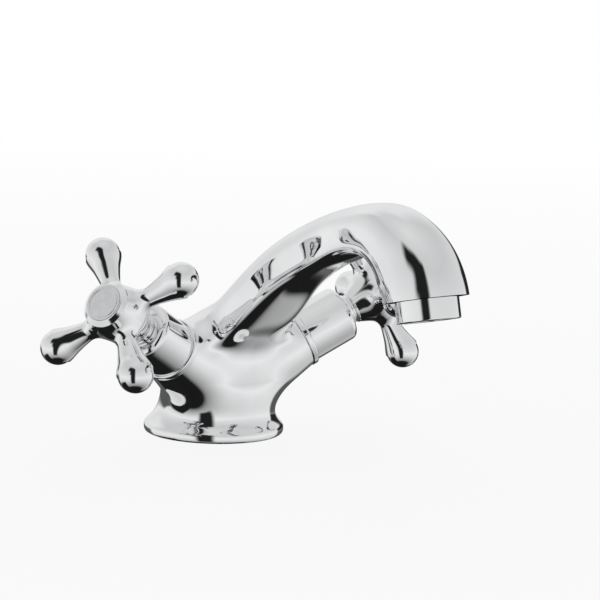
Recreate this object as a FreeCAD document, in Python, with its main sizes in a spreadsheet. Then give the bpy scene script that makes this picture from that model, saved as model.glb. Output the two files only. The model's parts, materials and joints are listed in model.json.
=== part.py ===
import FreeCAD, Part
import Sketcher
import math
import os
from types import SimpleNamespace

Vector = FreeCAD.Vector
Placement = FreeCAD.Placement
Rotation = FreeCAD.Rotation

# The frame: +Z is up, the spout points to -Y, the hot valve is on the -X side.
# The origin is the centre of the foot's underside, on the basin's deck.
# A valve piece is drawn on its own axis: its local Z is the distance from the
# point where the two valve axes cross, growing outward to the handle.

SIZES = [
    # body: foot and trunk
    ("foot_spread", 5.7),
    ("foot_rim_height", 3.6),
    ("foot_rim_round", 2.2),
    ("foot_flare_height", 14.0),
    ("foot_flare_radius", 16.0),
    ("waist_radius", 20.3),
    ("waist_height", 13.0),
    ("waist_shift", 2.2),
    ("belly_height", 27.0),
    ("belly_shift", 5.0),
    ("belly_lean_angle", 98.0),
    ("belly_half_width", 17.0),
    ("belly_half_depth", 18.0),
    ("shoulder_height", 39.4),
    ("shoulder_shift", 12.7),
    ("shoulder_lean_angle", 114.0),
    ("shoulder_half_width", 13.0),
    ("shoulder_half_depth", 11.43),
    # body: spout
    ("outlet_reach", 115.1),
    ("outlet_height", 56.7),
    ("outlet_tilt_angle", 13.0),
    ("outlet_straight", 1.0),
    ("outlet_half_width", 13.94),
    ("outlet_half_depth", 14.28),
    ("hood_bend_radius", 25.47),
    ("hood_turn_angle", 89.75),
    ("hood_half_width", 12.36),
    ("hood_half_depth", 10.3),
    ("crown_half_width", 10.5),
    ("crown_half_depth", 8.14),
    ("neck_bend_radius", 111.26),
    ("neck_turn_angle", 35.2),
    ("neck_half_width", 7.94),
    ("neck_half_depth", 8.74),
    ("root_half_width", 13.75),
    ("root_half_depth", 9.1),
    ("section_square_ratio", 2.35),
    ("underside_square_ratio", 3.2),
    # body: valve bosses
    ("valve_rise_angle", 28.27),
    ("valve_sweep_angle", 18.74),
    ("valve_cross_shift", 1.9),
    ("valve_cross_height", 17.5),
    ("boss_face", 35.0),
    ("boss_radius", 11.3),
    ("bridge_shift", 3.0),
    ("bridge_height", 29.0),
    ("bridge_half_depth", 15.0),
    ("bridge_half_height", 17.5),
    ("bridge_blend", 10.0),
    # waterways
    ("recess_radius", 16.5),
    ("recess_depth", 6.0),
    ("gasket_edge", 1.6),
    ("gasket_width", 2.8),
    ("gasket_depth", 1.6),
    ("inlet_radius", 4.5),
    ("inlet_spread", 9.5),
    ("inlet_shift", 3.0),
    ("inlet_thread_length", 12.0),
    ("inlet_way_radius", 3.6),
    ("stud_radius", 3.4),
    ("stud_shift", 9.5),
    ("stud_thread_length", 14.0),
    ("port_start", 8.0),
    ("port_radius", 4.0),
    ("seat", 14.0),
    ("seat_bore_radius", 7.8),
    ("water_room_start", 16.5),
    ("water_room_end", 23.5),
    ("water_room_radius", 9.4),
    ("valve_thread_radius", 8.33),
    ("cross_way_radius", 3.4),
    ("mixing_height", 38.0),
    ("mixing_shift", 10.0),
    ("spout_way_radius", 4.6),
    # valve insides
    ("thread_clearance", 0.06),
    ("running_clearance", 0.05),
    ("face_clearance", 0.05),
    ("seal_thickness", 2.0),
    ("seal_wall", 2.6),
    ("disc_radius", 6.0),
    ("disc_thickness", 2.8),
    ("disc_port_radius", 1.9),
    ("disc_port_offset", 2.9),
    ("slot_width", 2.4),
    ("slot_depth", 1.2),
    ("spindle_foot", 3.0),
    ("tongue_inset", 0.5),
    ("spindle_radius", 4.0),
    ("spindle_end", 70.0),
    ("square_start", 61.0),
    ("square_width", 5.6),
    ("spindle_tap_radius", 1.95),
    ("spindle_tap_depth", 8.5),
    ("ring_section_radius", 0.8),
    ("ring_low", 31.0),
    ("ring_high", 45.0),
    ("nose_radius", 7.6),
    ("window_width", 4.0),
    ("washer_thickness", 0.8),
    ("washer_inner", 8.4),
    ("washer_outer", 9.2),
    ("hex_flats", 16.0),
    ("hex_end", 41.5),
    ("headpart_neck_radius", 7.0),
    ("headpart_end", 53.4),
    ("clip_thickness", 0.8),
    ("clip_radius", 5.2),
    ("clip_groove_depth", 0.8),
    ("clip_gap", 2.4),
    # trim on the boss
    ("collar_radius", 11.6),
    ("collar_length", 2.6),
    ("collar_inner", 9.5),
    ("collar_round", 0.7),
    ("bonnet_radius", 10.66),
    ("bonnet_end", 56.0),
    ("bonnet_wall", 1.1),
    ("bonnet_top_wall", 1.6),
    ("bonnet_grip_length", 7.4),
    ("bonnet_round", 2.4),
    ("bonnet_lip", 4.6),
    # handle
    ("handle_centre", 70.0),
    ("hub_gap", 1.2),
    ("hub_tail_radius", 5.0),
    ("hub_tail_length", 2.2),
    ("hub_back_radius", 6.3),
    ("hub_radius", 9.4),
    ("hub_flank_radius", 12.0),
    ("hub_front_radius", 8.3),
    ("hub_front", 8.0),
    ("hub_front_flank_radius", 30.0),
    ("arm_length", 25.57),
    ("ball_radius", 6.15),
    ("arm_root_place", 7.0),
    ("arm_root_radius", 5.9),
    ("arm_neck_place", 12.8),
    ("arm_neck_radius", 3.5),
    ("arm_root_bend_radius", 8.2),
    ("arm_flare_radius", 70.0),
    ("socket_clearance", 0.08),
    ("handle_floor", 2.3),
    ("cup_radius", 6.9),
    ("screw_radius", 1.9),
    ("screw_clearance", 0.25),
    ("screw_head_radius", 3.4),
    ("screw_head_height", 2.3),
    ("screw_length", 9.6),
    ("screw_slot_width", 0.9),
    ("screw_slot_depth", 0.9),
    ("cap_radius", 8.5),
    ("cap_rim", 0.7),
    ("cap_height", 2.0),
    ("cap_plug_depth", 2.6),
    ("cap_plug_wall", 1.2),
    ("disc_face_radius", 6.4),
    ("index_thickness", 1.2),
    ("index_stand", 0.15),
    ("index_groove_radius", 5.3),
    ("index_groove_width", 0.35),
    ("index_groove_depth", 0.2),
    ("near_turn_angle", 35.65),
    ("far_turn_angle", 87.86),
    # aerator
    ("aerator_radius", 10.65),
    ("aerator_height", 7.3),
    ("aerator_thread_radius", 9.2),
    ("aerator_thread_length", 5.2),
    ("aerator_bore", 8.4),
    ("aerator_lip", 1.0),
    ("aerator_lip_bore", 7.9),
    ("aerator_round", 0.6),
    ("insert_height", 8.6),
    ("insert_wall", 0.9),
    ("insert_floor", 1.6),
    ("insert_hole_radius", 1.1),
    ("insert_hole_ring", 5.2),
    ("insert_hole_count", 12),
    ("insert_core_radius", 2.6),
    ("screen_thickness", 0.5),
    ("washer_height", 1.6),
    ("washer_bore", 6.6),
    # joined values
    ("overrun", 1.0),
    ("seat_clearance", 0.04),
]


class Size:
    """A number together with the sheet expression that gives it."""

    def __init__(self, number, text):
        self.number = float(number)
        self.text = text

    def join(self, other, sign, result):
        return Size(result, "(%s %s %s)" % (self.text, sign, as_size(other).text))

    def __add__(self, other):
        return self.join(other, "+", self.number + as_size(other).number)

    def __sub__(self, other):
        return self.join(other, "-", self.number - as_size(other).number)

    def __mul__(self, other):
        return self.join(other, "*", self.number * as_size(other).number)

    def __truediv__(self, other):
        return self.join(other, "/", self.number / as_size(other).number)

    def __neg__(self):
        return Size(-self.number, "(-%s)" % self.text)

    def __float__(self):
        return self.number


def as_size(value):
    return value if isinstance(value, Size) else Size(value, repr(float(value)))


NONE = as_size(0)
SAME_PLACE = 1e-4  # how near two coordinates lie that are taken as equal, in mm
doc = FreeCAD.newDocument("basin_mixer_tap")
sheet = doc.addObject("Spreadsheet::Sheet", "Sizes")
for line, (alias, value) in enumerate(SIZES, 1):
    sheet.set("A%d" % line, alias)
    sheet.set("B%d" % line, str(value))
    sheet.setAlias("B%d" % line, alias)
doc.recompute()
d = SimpleNamespace(**{alias: Size(sheet.get(alias), "Sizes." + alias) for alias, value in SIZES})
pieces = []


FOOT_RADIUS = d.waist_radius + d.foot_spread
GASKET_OUTER = FOOT_RADIUS - d.gasket_edge
GASKET_INNER = GASKET_OUTER - d.gasket_width


def new_body(label, place=None):
    body = doc.addObject("PartDesign::Body", label)
    body.Label = label
    if place is not None:
        body.Placement = place
    pieces.append(body)
    return body


def new_sketch(body, name, role, lift=None):
    plane = [item for item in body.Origin.OriginFeatures if item.Role == role][0]
    sketch = body.newObject("Sketcher::SketchObject", name)
    sketch.AttachmentSupport = [(plane, "")]
    sketch.MapMode = "FlatFace"
    if lift is not None:
        sketch.AttachmentOffset = Placement(Vector(0, 0, lift.number), Rotation())
        sketch.setExpression("AttachmentOffset.Base.z", lift.text)
    return sketch


def fix_point(sketch, line, end, across, along):
    """Ties one end of a line to its two distances from the sketch's origin."""
    for kind, axis, distance in (("DistanceX", -2, across), ("DistanceY", -1, along)):
        distance = as_size(distance)
        if distance.number == 0:
            sketch.addConstraint(Sketcher.Constraint("PointOnObject", line, end, axis))
        elif distance.number > 0:
            tie = sketch.addConstraint(Sketcher.Constraint(kind, -1, 1, line, end, distance.number))
            sketch.setExpression("Constraints[%d]" % tie, distance.text)
        else:
            flipped = -distance
            tie = sketch.addConstraint(Sketcher.Constraint(kind, line, end, -1, 1, flipped.number))
            sketch.setExpression("Constraints[%d]" % tie, flipped.text)


def arc_between(start, end, radius, turn):
    """The short arc from start to end; turn is 1 anticlockwise and -1 clockwise."""
    chord = end - start
    half = chord.Length / 2
    rise = math.sqrt(radius * radius - half * half)
    left = Vector(-chord.y, chord.x, 0).normalize()
    centre = (start + end) / 2 + left * (rise * turn)
    first, last = (start, end) if turn > 0 else (end, start)
    angles = [math.atan2(p.y - centre.y, p.x - centre.x) for p in (first, last)]
    if angles[1] < angles[0]:
        angles[1] += 2 * math.pi
    circle = Part.Circle(centre, Vector(0, 0, 1), radius)
    return Part.ArcOfCircle(circle, angles[0], angles[1])


def draw(sketch, corners, bends=None):
    """Draws a closed outline; bends gives a side's number its radius and turn."""
    bends = bends or {}
    points = [Vector(float(a), float(b), 0) for a, b in corners]
    base = sketch.GeometryCount
    ends = []
    for side, start in enumerate(points):
        end = points[(side + 1) % len(points)]
        if side in bends:
            radius, turn = bends[side]
            sketch.addGeometry(arc_between(start, end, radius.number, turn), False)
            ends.append((1, 2) if turn > 0 else (2, 1))
        else:
            sketch.addGeometry(Part.LineSegment(start, end), False)
            ends.append((1, 2))
    for side in range(len(points)):
        after = (side + 1) % len(points)
        sketch.addConstraint(Sketcher.Constraint(
            "Coincident", base + side, ends[side][1], base + after, ends[after][0]))
    for side, (across, along) in enumerate(corners):
        fix_point(sketch, base + side, ends[side][0], across, along)
    for side, (radius, turn) in bends.items():
        tie = sketch.addConstraint(Sketcher.Constraint("Radius", base + side, radius.number))
        sketch.setExpression("Constraints[%d]" % tie, radius.text)


def draw_circle(sketch, across, along, radius):
    centre = Vector(float(across), float(along), 0)
    line = sketch.addGeometry(Part.Circle(centre, Vector(0, 0, 1), radius.number), False)
    tie = sketch.addConstraint(Sketcher.Constraint("Radius", line, radius.number))
    sketch.setExpression("Constraints[%d]" % tie, radius.text)
    fix_point(sketch, line, 3, across, along)


def turned(body, name, corners, bends=None):
    """A piece turned on a lathe: the outline holds (radius, place along the axis)."""
    sketch = new_sketch(body, name + "_outline", "XZ_Plane")
    draw(sketch, corners, bends)
    turning = body.newObject("PartDesign::Revolution", name)
    turning.Profile = sketch
    turning.ReferenceAxis = (sketch, ["V_Axis"])
    turning.Angle = 360
    return turning


def sunk(body, name, sketch, depth, up):
    """A pocket from the sketch's plane, along +Z when up is set; it must remove something."""
    doc.recompute()
    before = body.Shape.Volume
    pocket = body.newObject("PartDesign::Pocket", name)
    pocket.Profile = sketch
    pocket.Length = depth.number
    pocket.setExpression("Length", depth.text)
    pocket.Reversed = up
    doc.recompute()
    if not body.Shape.Volume < before:
        raise RuntimeError("%s cuts nothing" % name)
    return pocket


def raised(body, name, sketch, height):
    pad = body.newObject("PartDesign::Pad", name)
    pad.Profile = sketch
    pad.Length = height.number
    pad.setExpression("Length", height.text)
    return pad


def ring(corner_in, corner_out, low, high):
    return [(corner_in, low), (corner_out, low), (corner_out, high), (corner_in, high)]


def rounded(body, name, radius, edges):
    base = body.Tip
    feature = body.newObject("PartDesign::Fillet", name)
    feature.Base = (base, edges)
    feature.Radius = radius.number
    feature.setExpression("Radius", radius.text)
    return feature


def round_edges(body, radius, along):
    """Names of the circular edges of that radius and place on the body's own axis."""
    doc.recompute()
    found = []
    for number, edge in enumerate(body.Tip.Shape.Edges, 1):
        curve = edge.Curve
        if isinstance(curve, Part.Circle) and abs(curve.Radius - float(radius)) < SAME_PLACE:
            if abs(curve.Center.z - float(along)) < SAME_PLACE:
                found.append("Edge%d" % number)
    return found


def freeform_lines(shape):
    """Numbers of the edges where two freeform faces meet."""
    faces = shape.Faces
    found = []
    for number, edge in enumerate(shape.Edges, 1):
        owners = [face for face in faces if any(edge.isSame(other) for other in face.Edges)]
        kinds = [face.Surface.TypeId for face in owners]
        if kinds == ["Part::GeomBSplineSurface"] * 2:
            found.append(number)
    return found


# Places: the valve axes lie mirrored about the plane X = 0.
def valve_direction(side):
    rise = math.radians(float(d.valve_rise_angle))
    sweep = math.radians(float(d.valve_sweep_angle))
    return Vector(side * math.cos(rise) * math.cos(sweep),
                  -math.cos(rise) * math.sin(sweep), math.sin(rise))


VALVE_CROSS = Vector(0, -float(d.valve_cross_shift), float(d.valve_cross_height))


def valve_place(side, along=0.0, turn=0.0):
    """Local Z runs out along the valve; local X is level, turned about the valve by turn."""
    out = valve_direction(side)
    level = out.cross(Vector(0, 0, 1)).normalize()
    upward = level.cross(out)
    frame = Rotation(level, -upward, out, "ZXY")
    return Placement(VALVE_CROSS + out * along, frame.multiply(Rotation(Vector(0, 0, 1), turn)))


tilt = math.radians(float(d.outlet_tilt_angle))
OUTLET_UP = Vector(0, math.sin(tilt), math.cos(tilt))
OUTLET = Vector(0, -float(d.outlet_reach), float(d.outlet_height))
OUTLET_PLACE = Placement(OUTLET, Rotation(Vector(0, 0, 1), OUTLET_UP))
SIDES = (("left", -1), ("right", 1))


# The spine of the spout in the plane X = 0, as (y, z): the outlet's straight,
# the hood's bend, the neck's bend and the trunk's named stations.
def spine_normal(lean):
    """Points away from the inside of the bend; lean is the way of flow from +Y, in degrees."""
    angle = math.radians(lean)
    return Vector(0, math.sin(angle), -math.cos(angle))


def spine_way(lean):
    angle = math.radians(lean)
    return Vector(0, math.cos(angle), math.sin(angle))


OUTLET_LEAN = 270.0 - float(d.outlet_tilt_angle)
HOOD_FACE = OUTLET + OUTLET_UP * float(d.aerator_height)
HOOD_END = HOOD_FACE + OUTLET_UP * float(d.outlet_straight)
HOOD_CENTRE = HOOD_END - spine_normal(OUTLET_LEAN) * float(d.hood_bend_radius)
CROWN_LEAN = OUTLET_LEAN - float(d.hood_turn_angle)
CROWN = HOOD_CENTRE + spine_normal(CROWN_LEAN) * float(d.hood_bend_radius)
NECK_CENTRE = CROWN - spine_normal(CROWN_LEAN) * float(d.neck_bend_radius)
ROOT_LEAN = CROWN_LEAN - float(d.neck_turn_angle)
ROOT = NECK_CENTRE + spine_normal(ROOT_LEAN) * float(d.neck_bend_radius)

SECTION_POINTS = 12
hood_shares = (0.25, 0.5, 0.75)
neck_shares = (0.3, 0.65)


def closed_curve(points):
    curve = Part.BSplineCurve()
    curve.interpolate(Points=points, PeriodicFlag=True)
    return Part.Wire([curve.toShape()])


def section(centre, lean, half_width, half_depth, top_ratio, under_ratio):
    """One closed cross-section square to the spine: a rounded top over a flatter underside.

    It starts at the top, so that the seam keeps clear of the blends."""
    normal = spine_normal(lean)
    points = []
    for step in range(SECTION_POINTS):
        angle = 2 * math.pi * step / SECTION_POINTS + math.pi / 2
        power = 2.0 / (top_ratio if math.sin(angle) >= 0 else under_ratio)
        across = math.copysign(abs(math.cos(angle)) ** power, math.cos(angle))
        outward = math.copysign(abs(math.sin(angle)) ** power, math.sin(angle))
        points.append(centre + Vector(half_width * across, 0, 0) + normal * (half_depth * outward))
    return closed_curve(points)


def between(first, last, share):
    return first + (last - first) * share


def smooth(share):
    return share * share * (3 - 2 * share)


def spout_sections():
    square = (float(d.section_square_ratio), float(d.underside_square_ratio))
    oval = (2.0, 2.0)
    stations = [
        (Vector(0, 0, float(d.recess_depth) / 2), 90.0,
         d.waist_radius + d.overrun, d.waist_radius + d.overrun, oval),
        (Vector(0, -float(d.waist_shift), float(d.waist_height)), 90.0,
         d.waist_radius, d.waist_radius, oval),
        (Vector(0, -float(d.belly_shift), float(d.belly_height)), float(d.belly_lean_angle),
         d.belly_half_width, d.belly_half_depth, oval),
        (Vector(0, -float(d.shoulder_shift), float(d.shoulder_height)), float(d.shoulder_lean_angle),
         d.shoulder_half_width, d.shoulder_half_depth, oval),
        (ROOT, ROOT_LEAN, d.root_half_width, d.root_half_depth, square),
    ]
    sizes = ((d.root_half_width, d.root_half_depth), (d.neck_half_width, d.neck_half_depth))
    for share in neck_shares:
        lean = ROOT_LEAN + float(d.neck_turn_angle) * share
        part = smooth(min(1.0, share / neck_shares[-1]))
        stations.append((NECK_CENTRE + spine_normal(lean) * float(d.neck_bend_radius), lean,
                         between(float(sizes[0][0]), float(sizes[1][0]), part),
                         between(float(sizes[0][1]), float(sizes[1][1]), part), square))
    stations.append((CROWN, CROWN_LEAN, d.crown_half_width, d.crown_half_depth, square))
    ends = ((d.crown_half_width, d.crown_half_depth), (d.hood_half_width, d.hood_half_depth),
            (d.outlet_half_width, d.outlet_half_depth))
    for share in hood_shares:
        lean = CROWN_LEAN + float(d.hood_turn_angle) * share
        early = share <= 0.5
        low, high = (ends[0], ends[1]) if early else (ends[1], ends[2])
        part = share * 2 if early else share * 2 - 1
        stations.append((HOOD_CENTRE + spine_normal(lean) * float(d.hood_bend_radius), lean,
                         between(float(low[0]), float(high[0]), part),
                         between(float(low[1]), float(high[1]), part), square))
    stations.append((HOOD_END, OUTLET_LEAN, d.outlet_half_width, d.outlet_half_depth, oval))
    stations.append((HOOD_FACE, OUTLET_LEAN, d.outlet_half_width, d.outlet_half_depth, oval))
    return [section(c, lean, float(w), float(t), *ratios) for c, lean, w, t, ratios in stations]


def feature(name, shape):
    made = doc.addObject("Part::Feature", name)
    made.Shape = shape
    return made


def oval(centre, across, upward, half_across, half_upward):
    """One closed section of the bridge; it starts at the top like the spout's sections."""
    points = []
    for step in range(SECTION_POINTS):
        angle = 2 * math.pi * step / SECTION_POINTS + math.pi / 2
        points.append(centre + across * (float(half_across) * math.cos(angle))
                      + upward * (float(half_upward) * math.sin(angle)))
    return closed_curve(points)


def boss_end(side):
    """The round end of a valve boss, at its face."""
    out = valve_direction(side)
    backward = Vector(0, 0, 1).cross(out).normalize() * side
    upward = (out * side).cross(backward)
    return oval(VALVE_CROSS + out * float(d.boss_face), backward, upward,
                d.boss_radius, d.boss_radius)


def bridge_form():
    """Both valve bosses as one bridge, from one boss face through the trunk to the other."""
    middle = oval(Vector(0, -float(d.bridge_shift), float(d.bridge_height)),
                  Vector(0, 1, 0), Vector(0, 0, 1), d.bridge_half_depth, d.bridge_half_height)
    return Part.makeLoft([boss_end(-1), middle, boss_end(1)], True, False)


def foot_form():
    body = doc.addObject("PartDesign::Body", "foot_form")
    turned(body, "foot", [
        (NONE, NONE),
        (FOOT_RADIUS - d.foot_rim_round, NONE),
        (FOOT_RADIUS, d.foot_rim_round),
        (FOOT_RADIUS, d.foot_rim_height),
        (d.waist_radius - d.waist_shift - d.overrun, d.foot_flare_height),
        (NONE, d.foot_flare_height),
    ], {1: (d.foot_rim_round, 1), 3: (d.foot_flare_radius, -1)})
    return body


def rod(start, end, radius):
    way = end - start
    return Part.makeCylinder(radius, way.Length, start, way)


def waterways():
    """Everything bored out of the casting, as one shape."""
    run = float(d.overrun)
    cuts = [
        rod(Vector(0, 0, -run), Vector(0, 0, float(d.recess_depth)), float(d.recess_radius)),
        rod(Vector(0, float(d.stud_shift), 0),
            Vector(0, float(d.stud_shift), float(d.recess_depth) + float(d.stud_thread_length)),
            float(d.stud_radius)),
    ]
    gasket = rod(Vector(0, 0, -run), Vector(0, 0, float(d.gasket_depth)), float(GASKET_OUTER))
    core = rod(Vector(0, 0, -2 * run), Vector(0, 0, 2 * float(d.gasket_depth)), float(GASKET_INNER))
    cuts.append(gasket.cut(core))
    mixing = Vector(0, -float(d.mixing_shift), float(d.mixing_height))
    for name, side in SIDES:
        out = valve_direction(side)

        def at(distance):
            return VALVE_CROSS + out * float(distance)

        foot = Vector(side * float(d.inlet_spread), -float(d.inlet_shift), 0)
        thread_top = foot + Vector(0, 0, float(d.recess_depth + d.inlet_thread_length))
        meeting = at(float(d.inlet_spread) / abs(out.x))
        cuts.append(rod(foot, thread_top, float(d.inlet_radius)))
        cuts.append(rod(foot, Vector(foot.x, foot.y, meeting.z), float(d.inlet_way_radius)))
        cuts.append(rod(at(d.port_start), at(d.seat), float(d.port_radius)))
        cuts.append(rod(at(d.seat), at(d.water_room_end), float(d.seat_bore_radius)))
        cuts.append(rod(at(d.water_room_start), at(d.water_room_end), float(d.water_room_radius)))
        cuts.append(rod(at(d.water_room_end - d.overrun), at(d.boss_face + d.overrun),
                        float(d.valve_thread_radius)))
        room = at((d.water_room_start + d.water_room_end) / 2)
        cuts.append(rod(room, mixing, float(d.cross_way_radius)))
    cuts.append(Part.makeSphere(float(d.spout_way_radius), mixing))
    cuts.append(rod(mixing, ROOT, float(d.spout_way_radius)))
    cuts.append(Part.makeSphere(float(d.spout_way_radius), ROOT))
    for centre, radius, lean, turn in (
            (NECK_CENTRE, d.neck_bend_radius, ROOT_LEAN, d.neck_turn_angle),
            (HOOD_CENTRE, d.hood_bend_radius, CROWN_LEAN, d.hood_turn_angle)):
        place = centre + spine_normal(lean) * float(radius)
        circle = Part.Wire([Part.Circle(place, spine_way(lean), float(d.spout_way_radius)).toShape()])
        cuts.append(Part.Face(circle).revolve(centre, Vector(1, 0, 0), float(turn)))
    cuts.append(rod(HOOD_END, HOOD_FACE, float(d.spout_way_radius)))
    socket = float(d.aerator_thread_length + d.washer_height)
    cuts.append(rod(HOOD_FACE - OUTLET_UP * run, HOOD_FACE + OUTLET_UP * socket,
                    float(d.aerator_thread_radius + d.thread_clearance)))
    return cuts


def blended(name, base, radius):
    """Rounds the hollow lines where the freeform parts of a casting meet."""
    doc.recompute()
    blend = doc.addObject("Part::Fillet", name)
    blend.Base = base
    lines = freeform_lines(base.Shape)
    blend.Edges = [(number, float(radius), float(radius)) for number in lines]
    doc.recompute()
    return blend


def body_casting():
    spout = feature("spout_form", Part.makeLoft(spout_sections(), True, False))
    trunk = doc.addObject("Part::MultiFuse", "trunk_form")
    trunk.Shapes = [spout, feature("bridge_form", bridge_form())]
    trunk_blend = blended("bridge_blends", trunk, d.bridge_blend)
    form = doc.addObject("Part::MultiFuse", "casting_form")
    form.Shapes = [trunk_blend, foot_form()]
    ways = waterways()
    bored = feature("casting_ways", ways[0].multiFuse(ways[1:]))
    casting = doc.addObject("Part::Cut", "body_casting")
    casting.Base = form
    casting.Tool = bored
    casting.Label = "body_casting"
    pieces.append(casting)


def base_gasket():
    body = new_body("base_gasket")
    turned(body, "gasket", ring(GASKET_INNER + d.seat_clearance, GASKET_OUTER - d.seat_clearance,
                                NONE, d.gasket_depth))


SEAL_TOP = d.seat + d.seal_thickness
FIXED_TOP = SEAL_TOP + d.disc_thickness
MOVING_LOW = FIXED_TOP + d.face_clearance
MOVING_TOP = MOVING_LOW + d.disc_thickness
FOOT_LOW = MOVING_TOP
FOOT_TOP = FOOT_LOW + d.spindle_foot
HEADPART_BORE = d.disc_radius + d.running_clearance
STEM_BORE = d.spindle_radius + d.running_clearance
HEX_LOW = d.boss_face + d.washer_thickness
COLLAR_TOP = d.boss_face + d.collar_length


def seat_seal(name, side):
    body = new_body("seat_seal_" + name, valve_place(side))
    outer = d.seat_bore_radius - d.seat_clearance
    turned(body, "seal", ring(d.disc_radius - d.seal_wall, outer, d.seat, SEAL_TOP))


def disc_ports(body, turn):
    """Two round ports facing each other across the disc."""
    sketch = new_sketch(body, "ports", "XY_Plane", SEAL_TOP - d.overrun)
    for way in (1, -1):
        if turn:
            draw_circle(sketch, NONE, d.disc_port_offset * way, d.disc_port_radius)
        else:
            draw_circle(sketch, d.disc_port_offset * way, NONE, d.disc_port_radius)
    sunk(body, "port_holes", sketch, d.disc_thickness + d.overrun * 2, True)


def fixed_disc(name, side, turn):
    body = new_body("fixed_disc_" + name, valve_place(side, 0.0, turn))
    turned(body, "disc", [(NONE, SEAL_TOP), (d.disc_radius, SEAL_TOP),
                          (d.disc_radius, FIXED_TOP), (NONE, FIXED_TOP)])
    disc_ports(body, False)


def moving_disc(name, side, turn):
    body = new_body("moving_disc_" + name, valve_place(side, 0.0, turn))
    turned(body, "disc", [(NONE, MOVING_LOW), (d.disc_radius, MOVING_LOW),
                          (d.disc_radius, MOVING_TOP), (NONE, MOVING_TOP)])
    disc_ports(body, True)
    sketch = new_sketch(body, "slot", "XY_Plane", MOVING_TOP + d.overrun)
    half = d.slot_width / 2
    reach = d.disc_radius + d.overrun
    draw(sketch, [(-reach, -half), (reach, -half), (reach, half), (-reach, half)])
    sunk(body, "drive_slot", sketch, d.slot_depth + d.overrun, False)


def spindle(name, side, turn):
    body = new_body("spindle_" + name, valve_place(side, 0.0, turn))
    turned(body, "stem", [
        (NONE, FOOT_LOW),
        (d.disc_radius, FOOT_LOW),
        (d.disc_radius, FOOT_TOP),
        (d.spindle_radius, FOOT_TOP),
        (d.spindle_radius, d.square_start),
        (NONE, d.square_start),
    ])
    tongue = new_sketch(body, "tongue_outline", "XY_Plane", FOOT_LOW - d.slot_depth + d.seat_clearance)
    half = d.slot_width / 2 - d.seat_clearance
    reach = d.disc_radius - d.tongue_inset
    draw(tongue, [(-reach, -half), (reach, -half), (reach, half), (-reach, half)])
    raised(body, "tongue", tongue, d.slot_depth + d.spindle_foot / 2)
    square = new_sketch(body, "square_outline", "XY_Plane", d.square_start - d.overrun)
    half = d.square_width / 2
    draw(square, [(-half, -half), (half, -half), (half, half), (-half, half)])
    raised(body, "square", square, d.spindle_end - d.square_start + d.overrun)
    tap = new_sketch(body, "tap_outline", "XY_Plane", d.spindle_end + d.overrun)
    draw_circle(tap, NONE, NONE, d.spindle_tap_radius)
    sunk(body, "tapped_hole", tap, d.spindle_tap_depth + d.overrun, False)
    groove_floor = d.spindle_radius - d.ring_section_radius * 2
    for label, place in (("low", d.ring_low), ("high", d.ring_high)):
        cut_groove(body, "seal_groove_" + label, groove_floor, place - d.ring_section_radius,
                   place + d.ring_section_radius)
    clip_floor = d.spindle_radius - d.clip_groove_depth
    cut_groove(body, "clip_groove", clip_floor, d.headpart_end + d.face_clearance,
               d.headpart_end + d.face_clearance + d.clip_thickness + d.face_clearance)


def cut_groove(body, name, floor, low, high):
    """A ring groove cut in the spindle."""
    doc.recompute()
    before = body.Shape.Volume
    sketch = new_sketch(body, name + "_outline", "XZ_Plane")
    draw(sketch, ring(floor, d.spindle_radius + d.overrun, low, high))
    groove = body.newObject("PartDesign::Groove", name)
    groove.Profile = sketch
    groove.ReferenceAxis = (sketch, ["V_Axis"])
    groove.Angle = 360
    doc.recompute()
    if not body.Shape.Volume < before:
        raise RuntimeError("%s cuts nothing" % name)


def spindle_rings(name, side, turn):
    """The two rubber rings in the spindle's grooves, as one group."""
    rings = []
    for place in (d.ring_low, d.ring_high):
        torus = doc.addObject("Part::Torus", "ring_%s" % name)
        torus.setExpression("Radius1", (d.spindle_radius - d.ring_section_radius).text)
        torus.setExpression("Radius2", (d.ring_section_radius - d.seat_clearance).text)
        torus.Placement = Placement(Vector(0, 0, float(place)), Rotation())
        rings.append(torus)
    group = doc.addObject("Part::Compound", "spindle_rings_" + name)
    group.Label = "spindle_rings_" + name
    group.Links = rings
    group.Placement = valve_place(side, 0.0, turn)
    pieces.append(group)


def headpart(name, side):
    """The valve's brass insert: threaded nose, hexagon and long guide for the spindle."""
    body = new_body("headpart_" + name, valve_place(side))
    thread = d.valve_thread_radius - d.thread_clearance
    turned(body, "shell", [
        (HEADPART_BORE, SEAL_TOP),
        (d.nose_radius, SEAL_TOP),
        (d.nose_radius, d.water_room_end + d.overrun),
        (thread, d.water_room_end + d.overrun),
        (thread, HEX_LOW),
        (d.headpart_neck_radius, HEX_LOW),
        (d.headpart_neck_radius, d.headpart_end),
        (STEM_BORE, d.headpart_end),
        (STEM_BORE, FOOT_TOP + d.face_clearance),
        (HEADPART_BORE, FOOT_TOP + d.face_clearance),
    ])
    hexagon = new_sketch(body, "hexagon_outline", "XY_Plane", HEX_LOW)
    half = d.hex_flats / 2
    corner = d.hex_flats / Size(math.sqrt(3), "sqrt(3)")
    draw(hexagon, [(corner, NONE), (corner / 2, half), (-corner / 2, half),
                   (-corner, NONE), (-corner / 2, -half), (corner / 2, -half)])
    draw_circle(hexagon, NONE, NONE, STEM_BORE)
    raised(body, "hexagon", hexagon, d.hex_end - HEX_LOW)
    window = new_sketch(body, "window_outline", "XZ_Plane")
    half = d.window_width / 2
    low = FIXED_TOP + d.face_clearance
    high = d.water_room_end - d.overrun / 2
    draw(window, [(-half, low), (half, low), (half, high), (-half, high)])
    doc.recompute()
    before = body.Shape.Volume
    pocket = body.newObject("PartDesign::Pocket", "water_windows")
    pocket.Profile = window
    pocket.Midplane = True
    reach = d.nose_radius * 2 + d.overrun * 2
    pocket.Length = reach.number
    pocket.setExpression("Length", reach.text)
    doc.recompute()
    if not body.Shape.Volume < before:
        raise RuntimeError("the water windows cut nothing")


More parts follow.
